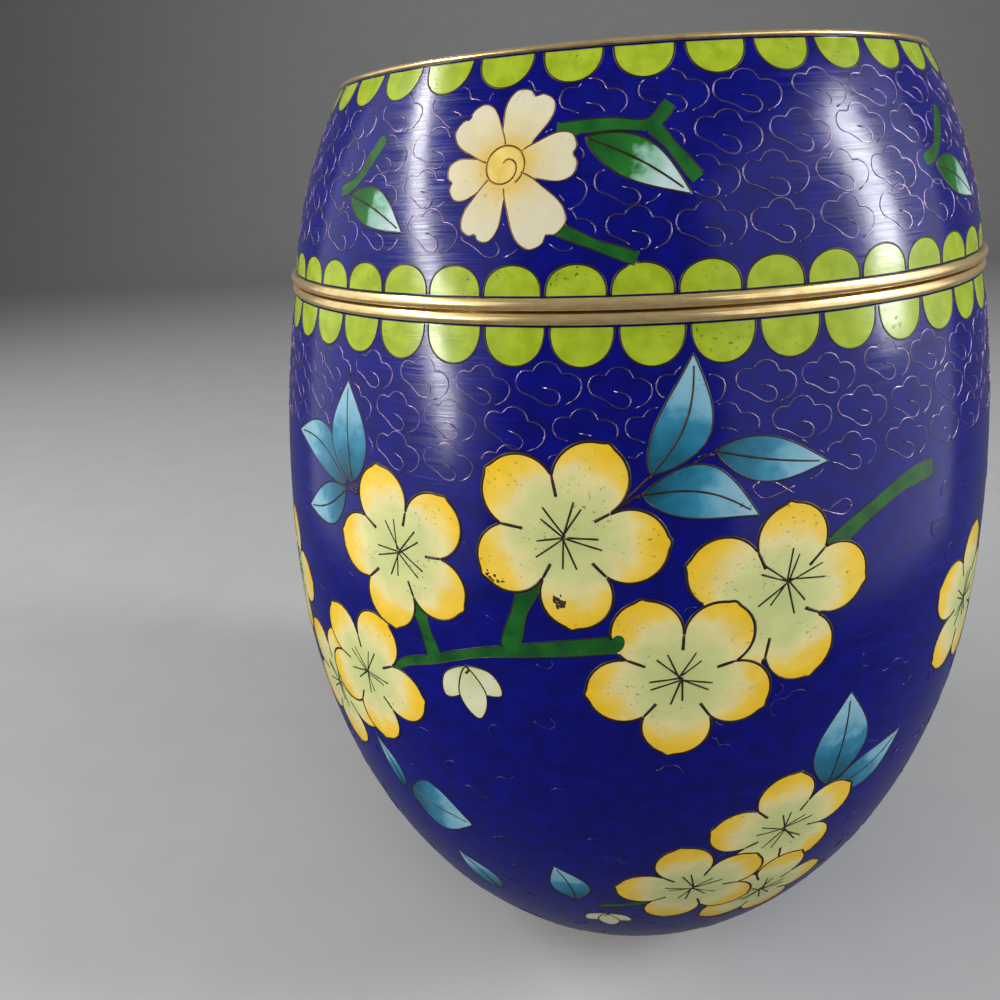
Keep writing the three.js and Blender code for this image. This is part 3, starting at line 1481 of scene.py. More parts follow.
def tiled_patch(drawing: Drawing, grid: Array, start: Array, plain: Enamel) -> Patch:
    """Divides a canvas into triangles that follow every cell, so that the enamels lie flush.

    Args:
        drawing: The cells.
        grid: Flat coordinates that hold the surface's form, its border among them.
        start: Shift of the unrolled coordinates.
        plain: Enamel outside the cells.

    Returns:
        The patch.
    """
    corners = np.vstack([grid, *(cell.outline for cell in drawing.cells)])
    ends = len(grid) + np.cumsum([len(cell.outline) for cell in drawing.cells])
    loops = [list(range(end - len(cell.outline), end)) for end, cell in zip(ends, drawing.cells)]
    flat, _, faces, sources, _, owners = delaunay_2d_cdt(
        [Vector(corner) for corner in corners], [], loops, 0, TILE_ACCURACY)
    # Corners that were given come back as given, and only crossings are new
    drawn = np.array([corners[source[0]] if source else tuple(place)
                      for place, source in zip(flat, sources)])
    guides = np.zeros((sum(map(len, faces)), 3))
    slots, corner = [], 0
    for face, owner in zip(faces, owners):
        enamel = plain
        if owner:
            cell = drawing.cells[max(owner)]
            enamel = cell.enamel
            local = drawing.canvas.relative(cell.spot, drawn[list(face)]) / cell.size
            guides[corner:corner + len(face), :2] = local
        slots.append(enamel.slot)
        corner += len(face)
    return Patch(drawing.canvas.points(drawn), drawing.canvas.normals(drawn), drawn + start,
                 [list(face) for face in faces], slots, guides)


def painted_mesh(name: str, points: Array, faces: list[list[int]], slots: list[int],
                 materials: list[Material]) -> bpy.types.Mesh:
    """Makes a mesh with a material on every face.

    Args:
        name: The mesh's name.
        points: Rows of x, y and z in metres.
        faces: Corners of each face.
        slots: Material slot of each face.
        materials: The material slots.

    Returns:
        The new mesh.
    """
    mesh = bpy.data.meshes.new(name)
    mesh.from_pydata(points.tolist(), [], faces)
    for material in materials:
        mesh.materials.append(material)
    mesh.polygons.foreach_set("material_index", slots)
    return mesh


def welded(name: str, patches: list[Patch], materials: list[Material]) -> Piece:
    """Joins patches into one closed mesh with true normals.

    Args:
        name: The object's name.
        patches: Its parts.
        materials: Its material slots.

    Returns:
        The new object.
    """
    points = np.vstack([patch.points for patch in patches])
    _, first, joined = np.unique(np.round(points / WELD).astype(np.int64), axis=0, return_index=True,
                                 return_inverse=True)
    joined = joined.reshape(-1)
    faces, slots, sources, guides = [], [], [], []
    offset = 0
    for patch in patches:
        corner = 0
        for face, slot in zip(patch.faces, patch.slots):
            kept = []
            for place, index in enumerate(face):
                vertex = int(joined[offset + index])
                if vertex not in [v for v, _, _ in kept]:
                    kept.append((vertex, offset + index, corner + place))
            corner += len(face)
            if len(kept) > 2:
                faces.append([vertex for vertex, _, _ in kept])
                slots.append(slot)
                sources.extend(source for _, source, _ in kept)
                guides.extend(NO_GUIDE if patch.guides is None else patch.guides[at] for _, _, at in kept)
        offset += len(patch.points)
    mesh = painted_mesh(name, points[first], faces, slots, materials)
    unrolled = np.vstack([patch.unrolled for patch in patches])[sources]
    add_corner_data(mesh, unrolled, np.array(guides))
    mesh.normals_split_custom_set(np.vstack([patch.normals for patch in patches])[sources].tolist())
    return linked(name, mesh)


def add_corner_data(mesh: bpy.types.Mesh, unrolled: Array, guides: Array) -> None:
    """Stores what the materials read, and a map that unrolls the piece.

    Args:
        mesh: The mesh.
        unrolled: Flat coordinates of each corner in millimetres.
        guides: Place of each corner in its motif.
    """
    flat = np.column_stack([unrolled, np.zeros(len(unrolled))])
    mesh.attributes.new("unrolled", "FLOAT_VECTOR", "CORNER").data.foreach_set("vector", flat.ravel())
    mesh.attributes.new("guide", "FLOAT_VECTOR", "CORNER").data.foreach_set("vector", guides.ravel())
    low, high = unrolled.min(0), unrolled.max(0)
    mesh.uv_layers.new(name="OFBake").uv.foreach_set("vector", ((unrolled - low) / (high - low)).ravel())


class WireMesh:
    """Lays thin ridged wires along the strands of drawings, in one mesh."""

    CROWN = 0.05  # height above the enamel
    SINK = 0.03  # depth of the feet in it

    def __init__(self, name: str) -> None:
        """Starts an empty mesh.

        Args:
            name: The object's name.
        """
        self.name = name
        self.points: list[Array] = []
        self.unrolled: list[Array] = []
        self.faces: list[list[int]] = []
        self.slots: list[int] = []
        self.count = 0

    def _lay(self, canvas: Canvas, strand: Strand) -> None:
        """Adds one wire.

        Args:
            canvas: The surface that it lies on.
            strand: Its route and finish.
        """
        middle, normal = canvas.points(strand.path), canvas.normals(strand.path)
        if strand.closed:
            ahead = np.roll(middle, -1, 0) - np.roll(middle, 1, 0)
        else:
            ahead = np.gradient(middle, axis=0)
        side = np.cross(ahead, normal)
        side *= MM * strand.width / 2 / np.maximum(np.linalg.norm(side, axis=1, keepdims=True), 1e-12)
        sunk = MM * self.SINK * normal
        rows = np.stack([middle - side - sunk, middle + MM * self.CROWN * normal, middle + side - sunk], 1)
        self.points.append(rows.reshape(-1, 3))
        self.unrolled.append(np.repeat(strand.path, 3, 0))
        self._faces(len(middle), strand)
        self.count += 3 * len(middle)

    def _faces(self, length: int, strand: Strand) -> None:
        """Adds the faces of one wire, and ends if it has any.

        Args:
            length: Number of points along it.
            strand: Its route and finish.
        """
        start = self.count
        spans = length if strand.closed else length - 1
        made = []
        for i in range(spans):
            here, there = start + 3 * i, start + 3 * ((i + 1) % length)
            for left, right in ((0, 1), (1, 2), (2, 0)):
                made.append([here + left, here + right, there + right, there + left])
        if not strand.closed:
            last = start + 3 * (length - 1)
            made += [[start, start + 2, start + 1], [last, last + 1, last + 2]]
        self.faces += made
        self.slots += [strand.finish.slot] * len(made)

    def build(self, drawings: list[Drawing], materials: list[Material]) -> Piece:
        """Makes the object.

        Args:
            drawings: What the wires belong to.
            materials: One for each wire finish.

        Returns:
            The new object.
        """
        for drawing in drawings:
            for strand in drawing.strands:
                self._lay(drawing.canvas, strand)
        mesh = painted_mesh(self.name, np.vstack(self.points), self.faces, self.slots, materials)
        mesh.polygons.foreach_set("use_smooth", [True] * len(self.faces))
        corners = np.concatenate([np.array(face) for face in self.faces])
        unrolled = np.vstack(self.unrolled)[corners]
        add_corner_data(mesh, unrolled, np.zeros((len(corners), 3)))
        return linked(self.name, mesh)


def settle(piece: Piece, slot: str, *nodes: str) -> None:
    """Ties a piece to the frame and reports it.

    Args:
        piece: The finished object.
        slot: The record's material slot; not used.
        *nodes: Nodes that it stands for.
    """
    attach(piece, BODY)
    if nodes:
        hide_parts(*nodes)
    piece.data.calc_loop_triangles()
    count, stands_for = len(piece.data.loop_triangles), ", ".join(nodes) or "itself"
    LOG.info("%s: %d triangles, stands for %s", piece.name, count, stands_for)


# Sub-assemblies

class Palette:
    """Every material of the box, made once."""

    def __init__(self) -> None:
        """Makes the materials."""
        self.enamels = [enamel_material(enamel.value) for enamel in Enamel]
        self.wires = [metal_material(wire.value) for wire in Wire]
        self.gilt = metal_material(GILT)


def egg_profile(sizes: BoxSizes, levels: Levels, low: float, high: float, inset: float, steps: int) -> Array:
    """Gives the egg's outline between two levels.

    Args:
        sizes: Driving sizes.
        levels: Levels of the box.
        low: First level.
        high: Last level.
        inset: How far inside the outer face.
        steps: Number of chords.

    Returns:
        Rows of radius and level in millimetres.
    """
    belly = levels.seam - sizes.seam_above_belly
    heights = np.linspace(low, high, steps + 1)
    half = np.where(heights < belly, sizes.lower_half_axis, sizes.upper_half_axis) - inset
    radii = (sizes.belly_radius - inset) * np.sqrt(1 - ((heights - belly) / half) ** 2)
    return np.stack([radii, heights], 1)


def lid_profile(sizes: BoxSizes, levels: Levels, low: float, high: float, inset: float, steps: int) -> Array:
    """Gives the outline of the lid's wall between two levels.

    Args:
        sizes: Driving sizes.
        levels: Levels of the box.
        low: First level.
        high: Last level.
        inset: How far inside the outer face.
        steps: Number of chords.

    Returns:
        Rows of radius and level in millimetres.
    """
    heights = np.linspace(low, high, steps + 1)
    share = (heights - levels.seam) / sizes.lid_wall_height
    cone = sizes.lid_foot_radius + (sizes.lid_shoulder_radius - sizes.lid_foot_radius) * share
    return np.stack([cone + 4 * sizes.lid_bulge * share * (1 - share) - inset, heights], 1)


def wall_grid(cut: float, low: float, high: float, columns: int, rows: int) -> Array:
    """Spreads points over an unrolled wall, to its four edges.

    Args:
        cut: Angle in degrees where the wall is cut.
        low: Lower edge.
        high: Upper edge.
        columns: Divisions across.
        rows: Divisions up.

    Returns:
        Flat coordinates.
    """
    across = np.radians(cut + np.linspace(0, 360, columns + 1)) * WallCanvas.SPREAD
    ups = np.linspace(low, high, rows + 1)
    return np.stack(np.meshgrid(across, ups), 2).reshape(-1, 2)


@dataclass(frozen=True)
class Spray:
    """The blossoms, leaves and branches on one side of the jar, turned to where they belong."""

    turned: float
    with_trifles: bool

    def motifs(self) -> list[Motif]:
        """Lists the spray's motifs in the order in which they are laid.

        Returns:
            The motifs.
        """
        branches = [
            self._branch(2.1, (-31.5, -46.5), (-28.5, -44.0), (-24.0, -42.2), (-18.0, -39.8), (-12.5, -38.4),
                         (-6.0, -37.2), (2.0, -36.0), taper=0.45),
            self._branch(1.9, (-26.2, -33.5), (-24.8, -38.0), (-23.4, -42.0)),
            self._branch(2.2, (-9.6, -28.5), (-11.4, -33.0), (-12.8, -38.0)),
            self._branch(2.0, (23.5, -28.0), (29.0, -24.5), (36.0, -21.5), (42.0, -20.7)),
            self._branch(1.6, (-2.5, -85.4), (4.0, -83.5), (10.0, -80.0), taper=0.6),
        ]
        leaves = [
            self._leaf((-38.6, -22.2), (-54.5, -18.5), 5.4, 0.14, (-34.5, -23.2)),
            self._leaf((-38.9, -23.0), (-50.4, -28.2), 4.9, -0.08, (-34.5, -23.2)),
            self._leaf((-37.4, -21.8), (-38.8, -9.2), 6.8, -0.04, (-34.5, -23.2)),
            self._leaf((11.0, -14.5), (24.8, -16.9), 4.4, 0.02, (0.0, -20.3)),
            self._leaf((2.8, -18.9), (16.2, -21.8), 5.4, -0.12, (0.0, -20.3)),
            self._leaf((3.8, -16.8), (8.6, -4.4), 5.2, 0.12, (0.0, -20.3)),
            self._leaf((30.2, -62.5), (42.0, -57.0), 5.4, 0.1, (28.5, -64.5)),
            self._leaf((29.4, -61.2), (30.2, -46.6), 7.6, 0.03, (28.5, -64.5)),
            self._leaf((-34.6, -69.6), (-38.5, -61.0), 2.8, 0.06, None),
            self._leaf((-33.4, -69.6), (-21.6, -70.4), 9.2, -0.02, None),
            self._leaf((-21.6, -89.5), (-27.3, -80.6), 5.2, 0.06, None),
            self._leaf((-6.4, -84.2), (-9.2, -75.0), 5.2, 0.06, None),
        ]
        blossoms = [
            self._blossom(-64.0, -43.0, 12.0, 10.6, 10),
            self._blossom(-47.6, -56.0, 20.0, 10.6, 11),
            self._blossom(-37.2, -48.9, 25.0, 10.9, 12),
            self._blossom(-28.6, -28.7, -23.0, 10.9, 13),
            self._blossom(-5.9, -23.6, 25.0, 11.1, 14),
            self._blossom(18.8, -31.8, 10.0, 11.3, 15, (0.7, 2.1)),
            self._blossom(7.5, -40.6, -33.0, 10.9, 16),
            self._blossom(23.9, -67.8, -8.0, 10.6, 17),
            self._blossom(25.0, -84.5, 14.0, 10.0, 18),
            self._blossom(11.9, -79.0, -17.0, 10.6, 19),
        ]
        buds = [Bud(self._spot(-19.0, -41.9, 168.0), 7.4), Bud(self._spot(-1.6, -88.5, 172.0), 6.0)]
        if not self.with_trifles:
            return branches + leaves + blossoms + buds
        knot = Knot(self._spot(0.1, -36.2, 20.0), 1.15)
        loops = [
            Teardrop(self._spot(19.8, -19.4, -82.0), 4.2),
            Teardrop(self._spot(24.3, -22.5, 86.0), 3.6),
        ]
        chips = [
            Chip(self._spot(-6.5, -31.6, -20.0), 1.9, 1.2),
            Chip(self._spot(-14.6, -29.3, 120.0), 2.4, 0.7, 5),
        ]
        return loops + branches + leaves + blossoms + buds + [knot] + chips

    def _spot(self, across: float, up: float, spin: float = 0.0) -> Spot:
        """Gives a spot of the turned spray."""
        return Spot(across + self.turned, up, spin)

    def _pair(self, place: Pair) -> Pair:
        """Gives a place of the turned spray."""
        return place[0] + self.turned, place[1]

    def _branch(self, width: float, *route: Pair, taper: float = 1.0) -> Branch:
        """Makes a branch of the turned spray."""
        return Branch(tuple(self._pair(place) for place in route), width, taper)

    def _leaf(self, base: Pair, tip: Pair, width: float, bow: float, stalk: Pair | None) -> Leaf:
        """Makes a leaf of the turned spray."""
        return Leaf(self._pair(base), self._pair(tip), width, Enamel.TEAL, bow, stalk and self._pair(stalk))

    def _blossom(self, across: float, up: float, spin: float, radius: float, seed: int,
                 heart: Pair = (0.0, 0.0)) -> Blossom:
        """Makes a blossom of the turned spray."""
        return Blossom(self._spot(across, up, spin), radius, heart, seed=seed)


@dataclass
class Jar:
    """The enamelled jar: a decorated outside, a plain lining and a plain base."""

    sizes: BoxSizes
    levels: Levels
    palette: Palette

    COLUMNS = 144
    ROWS = 48
    SCALLOPS = 44
    FIRST_SCALLOP = -49.2
    CUT = FIRST_SCALLOP + 26 * 360 / SCALLOPS - 360  # between two scallops, where no motif is
    EDGE_GAP = 0.08  # from the wall's edge to its scallops
    SPRAYS = (0.0, 120.0, -120.0)  # degrees, the photographed one first
    PROFILE_STEPS = 600
    LINING_STEPS = 40

    def build(self) -> None:
        """Draws the decoration and makes the jar and its wires."""
        sizes, levels = self.sizes, self.levels
        outside = egg_profile(sizes, levels, levels.base, levels.seam, 0.0, self.PROFILE_STEPS)
        canvas = WallCanvas(outside[:, 0], outside[:, 1], levels.seam, self.CUT)
        low, high = canvas.up_at(levels.base), canvas.up_at(levels.jar_wall_top)
        drawing = self._decorate(canvas, high)
        base_radius = float(outside[0, 0])
        grid = wall_grid(self.CUT, low, high, self.COLUMNS, self.ROWS)
        skin = tiled_patch(drawing, grid, np.array([0.0, base_radius - low]), Enamel.GROUND)
        rest = self._plain_walls(base_radius, float(canvas.radius(high)), base_radius + high - low)
        clouds = Drawing(canvas, drawing.cells)
        CloudGround(lowest=-116.0, highest=-7.6, shade_and_wear_below=-19.0, seed=21).draw(clouds)
        self.dress(welded("enamelled_jar", [skin, *rest], self.palette.enamels), drawing, clouds)

    def _decorate(self, canvas: WallCanvas, high: float) -> Drawing:
        """Draws the scallops and the sprays.

        Args:
            canvas: The outside of the jar.
            high: Its upper edge.

        Returns:
            The drawing.
        """
        drawing = Drawing(canvas)
        ScallopBand(high - self.EDGE_GAP, self.SCALLOPS, width=6.6, depth=4.0, stands=False,
                    first=self.FIRST_SCALLOP).draw(drawing)
        for turned in self.SPRAYS:
            for motif in Spray(turned, with_trifles=turned == 0.0).motifs():
                motif.draw(drawing)
        return drawing

    def _plain_walls(self, base_radius: float, mouth_radius: float, start: float) -> list[Patch]:
        """Makes the base, the mouth's edge and the lining.

        Args:
            base_radius: Radius of the base.
            mouth_radius: Outer radius of the mouth.
            start: Length along the outline where the mouth's edge starts.

        Returns:
            The patches.
        """
        sizes, levels = self.sizes, self.levels
        ground, lining = Enamel.GROUND.slot, Enamel.LINING.slot
        floor = levels.base + sizes.wall
        upward = egg_profile(sizes, levels, floor, levels.jar_wall_top, sizes.wall, self.LINING_STEPS)
        inside = upward[::-1]
        base = [(0.0, levels.base), (base_radius, levels.base)]
        mouth = [(mouth_radius, levels.jar_wall_top), tuple(inside[0])]
        bottom = [tuple(inside[-1]), (0.0, floor)]
        under = turned_patches([(base, lining)], self.COLUMNS, 0.0, self.CUT)
        within = [(mouth, ground), (inside, lining), (bottom, lining)]
        return under + turned_patches(within, self.COLUMNS, start, self.CUT)

    def dress(self, jar: Piece, drawing: Drawing, clouds: Drawing) -> None:
        """Lays the wires and ties the pieces to the frame.

        Args:
            jar: The enamelled jar.
            drawing: Its decoration.
            clouds: The curled wires on its ground.
        """
        settle(jar, "enamel", "jar_body")
        for name, drawn in (("jar_wires", drawing), ("jar_clouds", clouds)):
            settle(WireMesh(name).build([drawn], self.palette.wires), "gilt_brass")


@dataclass
class Lid:
    """The enamelled lid: a decorated wall and top over a plain lining."""

    sizes: BoxSizes
    levels: Levels
    palette: Palette

    COLUMNS = 144
    ROWS = 12
    REPEATS = 4
    SCALLOPS = 46
    FIRST_SCALLOP = -48.0
    CUT = FIRST_SCALLOP - 12 * 360 / SCALLOPS  # between two scallops, where no motif is
    UPPER_SCALLOPS = 36
    FIRST_UPPER_SCALLOP = -51.5
    EDGE_GAP = 0.08  # from the wall's edges to its scallops
    PROFILE_STEPS = 200
    LINING_STEPS = 16
    TOP_SCALLOPS = 34
    TOP_EDGE_GAP = 0.25
    TOP_LEAVES = (20.0, 140.0, 260.0)  # degrees
    TOP_LEAF_ENDS = (8.0, 22.0)  # from the middle
    TOP_RINGS = 13
    TOP_COLUMNS = 48
    TOP_UNROLLED = 45.0  # beyond the wall's upper edge, as is the next one
    LINING_UNROLLED = 90.0

    def build(self) -> None:
        """Draws the decoration and makes the lid and its wires."""
        sizes, levels = self.sizes, self.levels
        outside = lid_profile(sizes, levels, levels.seam, levels.shoulder, 0.0, self.PROFILE_STEPS)
        wall = WallCanvas(outside[:, 0], outside[:, 1], levels.seam, self.CUT)
        dome = DomeCanvas(sizes, levels.shoulder + sizes.dome_edge_rise)
        low, high = wall.up_at(levels.lid_wall_foot), wall.up_at(levels.shoulder)
        sides, top = self._decorate_wall(wall, low, high), self._decorate_dome(dome)
        grid = wall_grid(self.CUT, low, high, self.COLUMNS, self.ROWS)
        skin = tiled_patch(sides, grid, np.array([0.0, -low]), Enamel.GROUND)
        beyond = np.array([0.0, high - low + self.TOP_UNROLLED])
        crown = tiled_patch(top, self._dome_grid(), beyond, Enamel.GROUND)
        rest = self._plain_walls(float(wall.radius(low)), high - low)
        lid = welded("enamelled_lid", [skin, crown, *rest], self.palette.enamels)
        self.dress(lid, [sides, top])

    def _decorate_wall(self, wall: WallCanvas, low: float, high: float) -> Drawing:
        """Draws the scallops, the flowers and the clouds.

        Args:
            wall: The outside of the wall.
            low: Its lower edge.
            high: Its upper edge.

        Returns:
            The drawing.
        """
        drawing = Drawing(wall)
        ScallopBand(high - self.EDGE_GAP, self.UPPER_SCALLOPS, width=6.0, depth=3.5, stands=False,
                    first=self.FIRST_UPPER_SCALLOP).draw(drawing)
        ScallopBand(low + self.EDGE_GAP, self.SCALLOPS, width=6.3, depth=3.1, stands=True,
                    first=self.FIRST_SCALLOP).draw(drawing)
        for k in range(self.REPEATS):
            for motif in self._flower(360 / self.REPEATS * k):
                motif.draw(drawing)
        CloudGround(lowest=5.5, highest=21.0, shade_and_wear_below=0.0, seed=31).draw(drawing)
        return drawing

    @staticmethod
    def _flower(turned: float) -> list[Motif]:
        """Lists one flower with its branches and leaves, in the order in which they are laid.

        Args:
            turned: Angle in degrees from the photographed one.

        Returns:
            The motifs.
        """
        # From a quarter turn to the left all the way round, so that none crosses the cut
        turned = (turned + 90) % 360 - 90

        def pair(across: float, up: float) -> Pair:
            """Gives a place of the turned flower."""
            return across + turned, up

        return [
            Branch((pair(-8.0, 18.0), pair(-1.0, 18.2), pair(4.0, 18.0), pair(6.6, 20.0)), 1.3),
            Branch((pair(4.2, 17.8), pair(6.4, 15.8), pair(9.6, 12.4)), 1.3),
            Branch((pair(-8.0, 8.4), pair(-3.0, 6.6), pair(2.2, 5.0)), 1.2),
            Branch((pair(-45.0, 12.6), pair(-41.0, 14.0), pair(-36.5, 18.6)), 1.4),
            Leaf(pair(-4.2, 17.0), pair(8.8, 10.9), 3.8, Enamel.FERN, -0.04),
            Leaf(pair(-42.3, 12.2), pair(-29.6, 8.0), 3.8, Enamel.FERN, -0.04),
            CurledFlower(Spot(turned - 14.6, 14.6)),
        ]

    def _decorate_dome(self, dome: DomeCanvas) -> Drawing:
        """Draws the scallops, the leaves and the blossom of the top.

        Args:
            dome: The top.

        Returns:
            The drawing.
        """
        drawing = Drawing(dome)
        edge = dome.edge_radius - self.TOP_EDGE_GAP
        ScallopBand(0.0, self.TOP_SCALLOPS, width=5.4, depth=3.0, stands=False, first=0.0,
                    plan_radius=edge).draw(drawing)
        for turned in self.TOP_LEAVES:
            base, tip = (tuple(point_at(end, turned)) for end in self.TOP_LEAF_ENDS)
            Leaf(base, tip, width=6.0).draw(drawing)
        Blossom(Spot(0.0, 0.0, 20.0), radius=11.0, seed=40).draw(drawing)
        return drawing

    def _dome_grid(self) -> Array:
        """Spreads points over the top in rings, the outer one as fine as the wall.

        Returns:
            Flat coordinates.
        """
        rings = [np.zeros((1, 2))]
        for radius in np.linspace(0, self.sizes.dome_radius, self.TOP_RINGS + 1)[1:]:
            columns = self.COLUMNS if radius == self.sizes.dome_radius else self.TOP_COLUMNS
            angles = np.radians(self.CUT + np.linspace(0, 360, columns, endpoint=False))
            rings.append(radius * np.stack([np.sin(angles), -np.cos(angles)], 1))
        return np.vstack(rings)

    def _plain_walls(self, foot_radius: float, start: float) -> list[Patch]:
        """Makes the lining, the lower edge and the shoulder.

        Args:
            foot_radius: Outer radius of the lower edge.
            start: Length of the wall, up to the shoulder.

        Returns:
            The patches.
        """
        sizes, levels = self.sizes, self.levels
        ground, lining = Enamel.GROUND.slot, Enamel.LINING.slot
        dome_edge = levels.shoulder + sizes.dome_edge_rise
        under = dome_edge - sizes.wall
        inside = lid_profile(sizes, levels, levels.lid_wall_foot, under, sizes.wall, self.LINING_STEPS)
        share = np.linspace(1, 0, self.LINING_STEPS + 1)
        ceiling = np.stack([inside[-1, 0] * share, under + sizes.dome_rise * (1 - share**2)], 1)
        stretches = [
            (ceiling[::-1], lining),
            (inside[::-1], lining),
            ([tuple(inside[0]), (foot_radius, levels.lid_wall_foot)], ground),
            ([(sizes.lid_shoulder_radius, levels.shoulder), (sizes.dome_radius, levels.shoulder)], ground),
            ([(sizes.dome_radius, levels.shoulder), (sizes.dome_radius, dome_edge)], ground),
        ]
        return turned_patches(stretches, self.COLUMNS, start + self.LINING_UNROLLED, self.CUT)

    def dress(self, lid: Piece, drawings: list[Drawing]) -> None:
        """Lays the wires of the wall and the top, and ties the pieces to the frame."""
        settle(lid, "enamel", "lid_shell")
        settle(WireMesh("lid_wires").build(drawings, self.palette.wires), "gilt_brass")


@dataclass
class GiltFittings:
    """The four gilt rings, with rounded edges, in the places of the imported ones."""

    palette: Palette
    swell: float = 0.3
    rounding: float = 0.22
    lip_radius: float = 46.0
    lip_height: float = 3.2

    COLUMNS = 288
    WIDTHS = {"jar_rim": 4.9, "lid_rim": 2.7, "shoulder_ring": 1.6, "foot_ring": 2.6}
    EDGE_SHARE = 0.16  # largest share of a ring's height that an edge takes
    EDGE_OUT = 0.1  # how far the edges stand out from the foot of the swell
    MIDDLE = (0.2, 0.8)  # stretch of a ring's height between its edges

    def build(self) -> None:
        """Makes each ring in the box of its node."""
        for node in self.WIDTHS:
            low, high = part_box(node)
            self.dress(self._ring(node, float(high.x) / MM, float(low.z) / MM, float(high.z) / MM), node)

    def _ring(self, node: str, radius: float, foot: float, top: float) -> Piece:
        """Makes one ring.

        Args:
            node: The node that it stands for.
            radius: Its outer radius.
            foot: Level of its underside.
            top: Level of its top.

        Returns:
            The ring.
        """
        has_lip = node == "jar_rim"
        inner, flat_top = radius - self.WIDTHS[node], top - (self.lip_height if has_lip else 0.0)
        face = self._face(radius, foot, flat_top)
        lip = [(self.lip_radius, flat_top), (self.lip_radius, top)] if has_lip else []
        corners = [tuple(face[-1]), *lip, (inner, top), (inner, foot), tuple(face[0])]
        stretches = [(face, 0), *((pair, 0) for pair in zip(corners, corners[1:]))]
        patches = turned_patches(stretches, self.COLUMNS, 0.0, BACK)
        return welded(f"gilt_{node}", patches, [self.palette.gilt])

    def _face(self, radius: float, foot: float, top: float) -> Array:
        """Gives the swelling outer face of a ring, with its rounded edges.

        Args:
            radius: The ring's outer radius.
            foot: Level of its underside.
            top: Level of its flat top.

        Returns:
            Rows of radius and level.
        """
        height = top - foot
        edge = min(self.rounding, self.EDGE_SHARE * height)
        centre = radius - self.swell - edge + self.EDGE_OUT
        lower = arc((centre, foot + edge), edge, 180, 110, 5)
        upper = arc((centre, top - edge), edge, 70, 0, 5)
        share = np.linspace(*self.MIDDLE, 7)
        middle = np.stack([radius - self.swell * (2 * share - 1) ** 2, foot + height * share], 1)
        return np.vstack([lower, middle, upper])

    @staticmethod
    def dress(ring: Piece, node: str) -> None:
        """Ties a ring to the frame in place of its node."""
        settle(ring, "gilt_brass", node)


@dataclass(frozen=True)
class ViewPoint:
    """Where the photograph was taken from, in millimetres and degrees."""

    distance: float = 131.1
    above_seam: float = 14.45
    heading: float = -9.09
    downward: float = 23.02
    roll: float = -3.29
    lens: float = 28.65

    SENSOR = 36.0
    NEAREST = 0.01  # metres

    def build(self, levels: Levels) -> None:
        """Sets up the camera.

        Args:
            levels: Levels of the box.
        """
        heading, downward, roll = (math.radians(a) for a in (self.heading, self.downward, self.roll))
        ahead = Vector((math.sin(heading) * math.cos(downward), math.cos(heading) * math.cos(downward),
                        -math.sin(downward)))
        level_right = Vector((math.cos(heading), -math.sin(heading), 0.0))
        level_up = level_right.cross(ahead)
        right = level_right * math.cos(roll) + level_up * math.sin(roll)
        up = level_up * math.cos(roll) - level_right * math.sin(roll)
        camera = linked("camera", bpy.data.cameras.new("camera"))
        camera.data.lens, camera.data.sensor_width = self.lens, self.SENSOR
        camera.data.clip_start = self.NEAREST
        turned = Matrix((right, up, -ahead)).transposed()
        place = Vector((0.0, -self.distance, levels.seam + self.above_seam)) * MM
        camera.matrix_world = Matrix.Translation(place) @ turned.to_4x4()
        bpy.context.scene.camera = camera


@dataclass(frozen=True)
class SoftBox:
    """A soft light aimed at the box, with sizes in metres and angles in degrees."""

    name: str
    azimuth: float
    elevation: float
    distance: float
    width: float
    height: float
    watts: float
    colour: tuple[float, float, float]
    lean: float = 0.0
    mirrored: bool = True

    def build(self, target: Vector) -> None:
        """Sets up the light.

        Args:
            target: What it is aimed at.
        """
        azimuth, elevation = math.radians(self.azimuth), math.radians(self.elevation)
        away = Vector((math.sin(azimuth) * math.cos(elevation), -math.cos(azimuth) * math.cos(elevation),
                       math.sin(elevation)))
        data = bpy.data.lights.new(self.name, "AREA")
        data.shape, data.size, data.size_y = "RECTANGLE", self.width, self.height
        data.energy, data.color = self.watts, self.colour
        light = linked(self.name, data)
        light.visible_glossy = self.mirrored
        light.location = target + away * self.distance
        leaning = Matrix.Rotation(math.radians(self.lean), 3, "Z")
        light.rotation_euler = (away.to_track_quat("Z", "Y").to_matrix() @ leaning).to_euler()


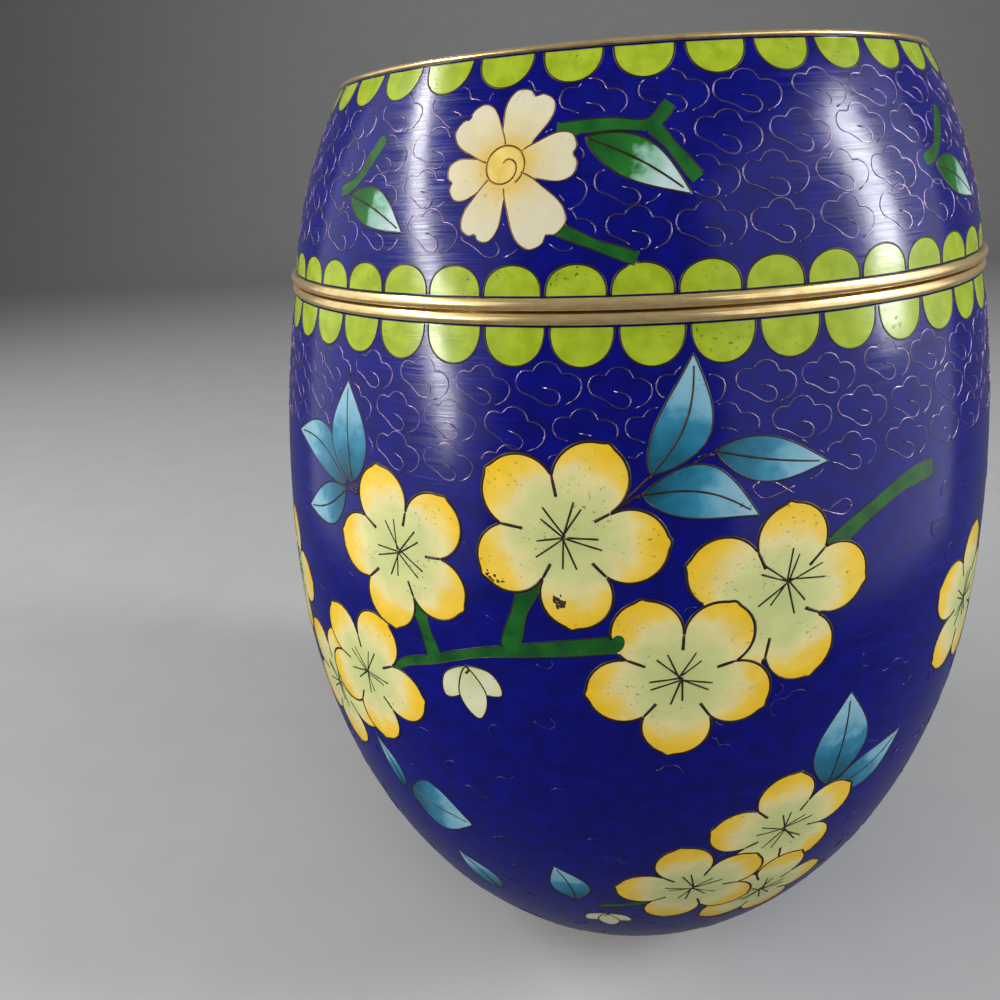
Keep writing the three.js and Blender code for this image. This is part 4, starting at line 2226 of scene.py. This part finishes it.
@dataclass(frozen=True)
class Studio:
    """A plain pale floor that sweeps up behind the box, and soft light from both sides, in metres."""

    front: float = -1.2
    back: float = 0.9
    half_width: float = 2.0
    sweep: float = 0.5
    wall_top: float = 1.8
    grey: float = 0.32
    lights: tuple[SoftBox, ...] = (
        SoftBox("left_window", -69.0, 24.0, 0.7, 0.06, 0.85, 7.0, (1.0, 0.99, 0.98), 40.0),
        SoftBox("left_wall", -76.0, 10.0, 0.6, 1.0, 0.8, 1.9, (1.0, 0.99, 0.98)),
        SoftBox("right_wall", 70.0, 10.0, 0.6, 1.0, 0.8, 2.4, (0.97, 0.98, 1.0)),
        SoftBox("right_window", 84.0, 22.0, 0.7, 0.12, 0.42, 5.0, (0.96, 0.98, 1.0)),
        SoftBox("front_fill", 8.0, 52.0, 0.9, 0.5, 0.4, 2.8, (1.0, 1.0, 1.0), mirrored=False),
    )

    ROOM = (0.62, 0.63, 0.66, 1.0)
    ROOM_STRENGTH = 0.2
    PAPER_GRAIN = (60.0, 60.0, 60.0)
    PAPER_ROUGHNESS = 0.7

    def build(self, target: Vector) -> None:
        """Sets up the floor, the lights and the dim surroundings.

        Args:
            target: Middle of the box.
        """
        turn_up = arc((0.0, 0.0), self.sweep, 180, 90, 16)
        curve = [(self.back + y, self.sweep + z) for y, z in turn_up]
        profile = [(self.front, 0.0), *curve, (self.back + self.sweep, self.wall_top)]
        points = [(x, y, z) for y, z in profile for x in (-self.half_width, self.half_width)]
        faces = [(2 * i, 2 * i + 1, 2 * i + 3, 2 * i + 2) for i in range(len(profile) - 1)]
        mesh = bpy.data.meshes.new("floor")
        mesh.from_pydata(points, [], faces)
        mesh.polygons.foreach_set("use_smooth", [True] * len(faces))
        mesh.materials.append(self._paper())
        floor = linked("floor", mesh)
        floor.visible_glossy = False
        for light in self.lights:
            light.build(target)
        world = bpy.data.worlds.new("room")
        world.use_nodes = True
        background = world.node_tree.nodes["Background"]
        background.inputs["Color"].default_value = self.ROOM
        background.inputs["Strength"].default_value = self.ROOM_STRENGTH
        bpy.context.scene.world = world
        bpy.context.scene.view_settings.view_transform = "Standard"

    def _paper(self) -> Material:
        """Makes the floor's material.

        Returns:
            The material.
        """
        material, bench, shader = new_material("pale_paper")
        place = bench.add("ShaderNodeTexCoord").outputs["Object"]
        grain = bench.noise(place, self.PAPER_GRAIN, 4.0)
        pale, dim = (self.grey * 1.06,) * 3 + (1.0,), (self.grey * 0.94,) * 3 + (1.0,)
        bench.feed(shader.inputs["Base Color"], bench.blend(grain, pale, dim))
        shader.inputs["Roughness"].default_value = self.PAPER_ROUGHNESS
        return material


def main() -> None:
    """Builds the box, its stage and its camera."""
    logging.basicConfig(level=logging.INFO, format="%(name)s: %(message)s")
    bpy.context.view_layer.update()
    sizes = BoxSizes()
    levels = Levels.from_frame(sizes)
    palette = Palette()
    Jar(sizes, levels, palette).build()
    Lid(sizes, levels, palette).build()
    GiltFittings(palette).build()
    Studio().build(Vector((0.0, 0.0, levels.seam * MM)))
    ViewPoint().build(levels)


if __name__ == "__main__":
    main()
